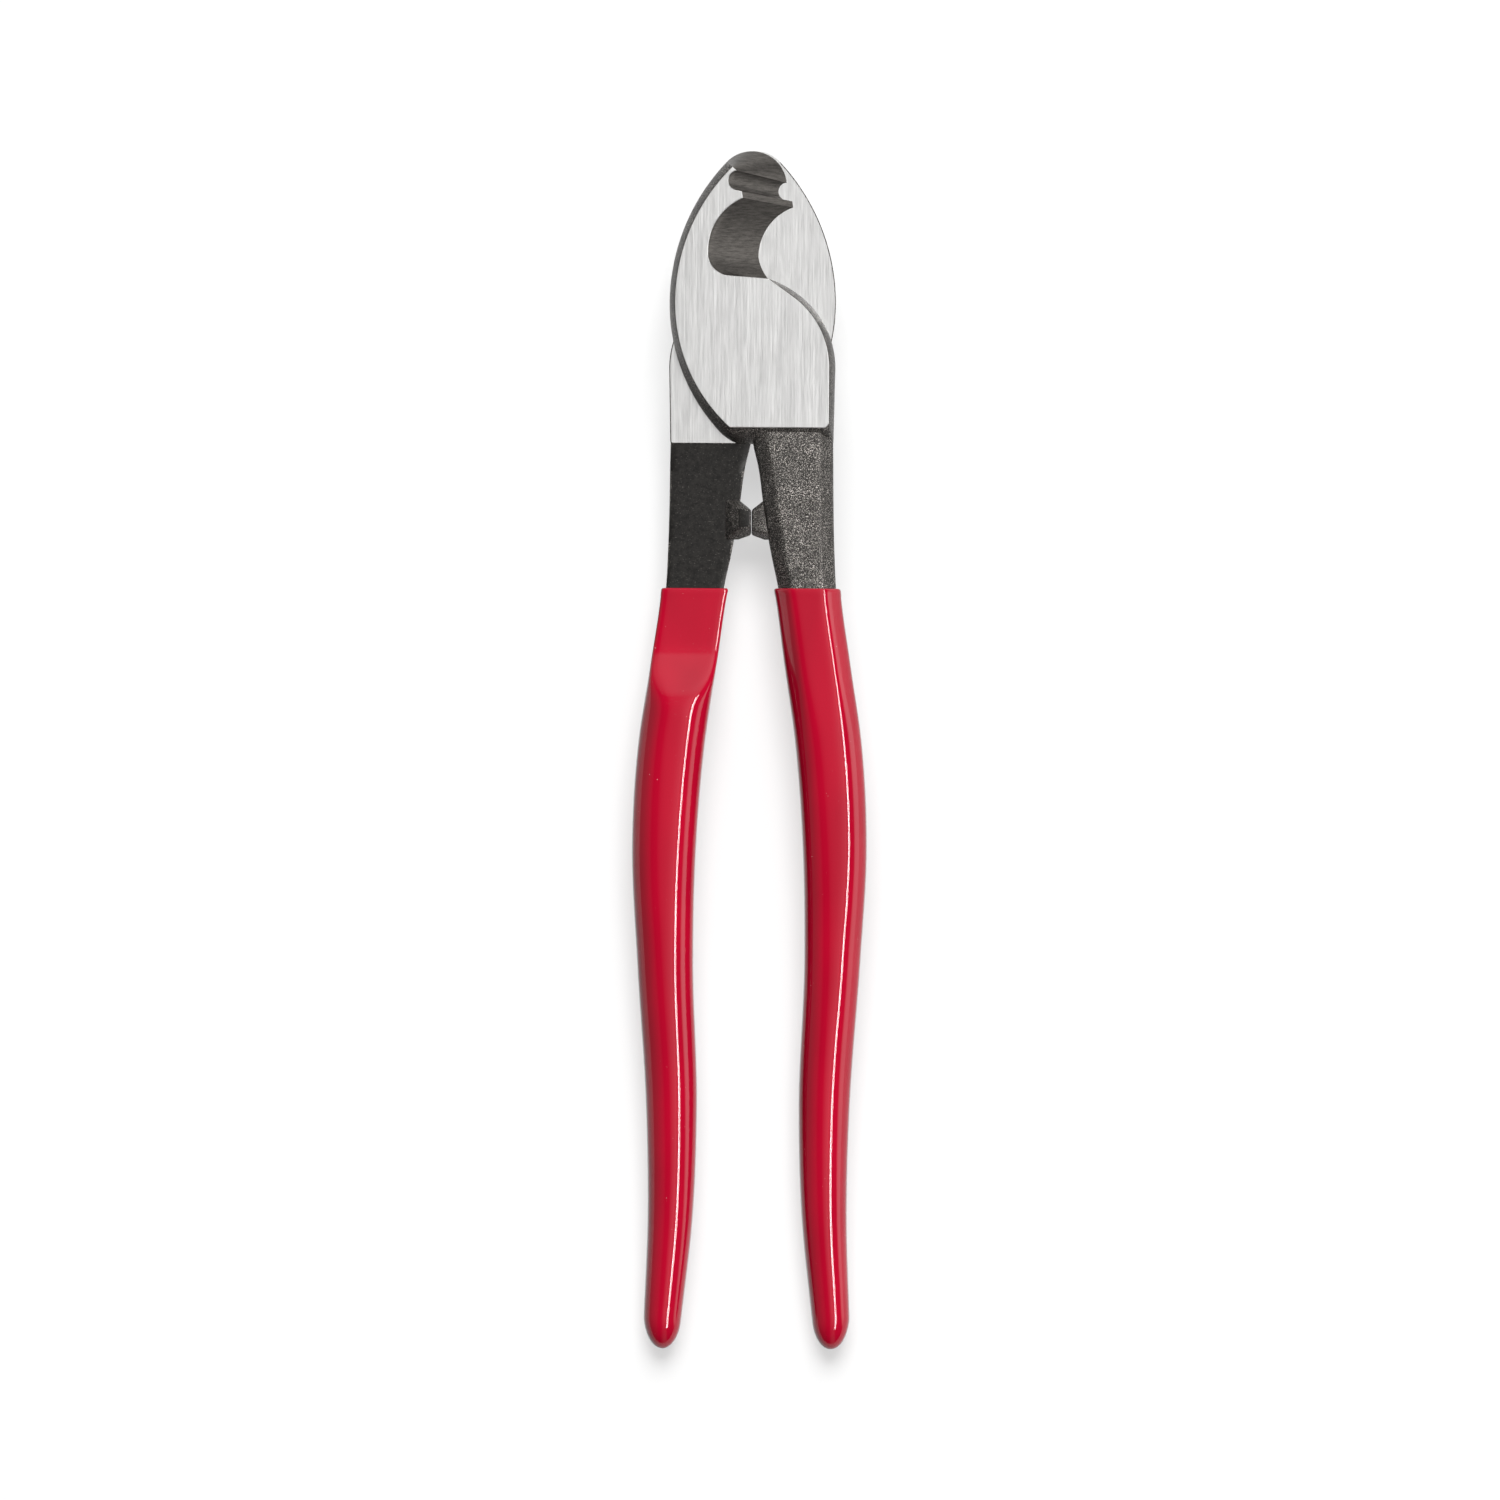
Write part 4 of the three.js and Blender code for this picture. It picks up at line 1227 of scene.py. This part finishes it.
class CUTTERS_OT_nut(bpy.types.Operator):
    """The pivot nut and its lock screw"""
    bl_idname = "cutters.nut"
    bl_label = "Nut and lock screw"

    def execute(self, context):
        s = context.scene.cutters
        plated, oxide = made_once(plated_steel, s.finish), made_once(black_oxide, s.finish)
        finished(pivot_nut(s), FRONT, "pivot_nut", [plated], sharp=20)
        finished(lock_screw(s), FRONT, "nut_lock_screw", [oxide])
        return {"FINISHED"}


class CUTTERS_OT_stage(bpy.types.Operator):
    """Pale floor, soft studio light and the camera"""
    bl_idname = "cutters.stage"
    bl_label = "Stage"

    def execute(self, context):
        stage = context.scene.cutters.stage
        context.scene.view_settings.view_transform = "Standard"
        floor(stage)
        studio_world()
        near = softbox("strip_near", azimuth=0, elevation=59, distance=6, width=0.32, length=7.2, radiance=40)
        far = softbox("strip_far", azimuth=0, elevation=53, distance=6, width=0.2, length=7.2, radiance=36)
        for strip in (near, far):
            strip.data.use_shadow = False
        beyond = softbox("head_box", azimuth=90, elevation=50, distance=6.4, width=4, length=4, radiance=6.5)
        beyond.visible_glossy = False
        camera(stage)
        return {"FINISHED"}


class CUTTERS_PT_sidebar(bpy.types.Panel):
    """Lists the operators"""
    bl_label = "Cable cutters"
    bl_idname = "CUTTERS_PT_sidebar"
    bl_space_type = "VIEW_3D"
    bl_region_type = "UI"
    bl_category = "Cutters"

    def draw(self, context):
        for operator in OPERATORS:
            self.layout.operator(operator.bl_idname)


OPERATORS = (
    CUTTERS_OT_levers, CUTTERS_OT_grips, CUTTERS_OT_stud, CUTTERS_OT_rings, CUTTERS_OT_nut, CUTTERS_OT_stage,
)
CLASSES = (
    HeadSizes, BiteSizes, BarSizes, LugSizes, GripSizes, PivotSizes, Finishes, StageSizes, CutterSettings,
    *OPERATORS, CUTTERS_PT_sidebar,
)


def register():
    for each in CLASSES:
        bpy.utils.register_class(each)
    bpy.types.Scene.cutters = PointerProperty(type=CutterSettings)


def unregister():
    del bpy.types.Scene.cutters
    for each in reversed(CLASSES):
        bpy.utils.unregister_class(each)


def main():
    """Registers the classes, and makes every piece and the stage."""
    register()
    bpy.ops.cutters.levers()
    bpy.ops.cutters.grips()
    bpy.ops.cutters.stud()
    bpy.ops.cutters.rings()
    bpy.ops.cutters.nut()
    bpy.ops.cutters.stage()


if __name__ == "__main__":
    main()
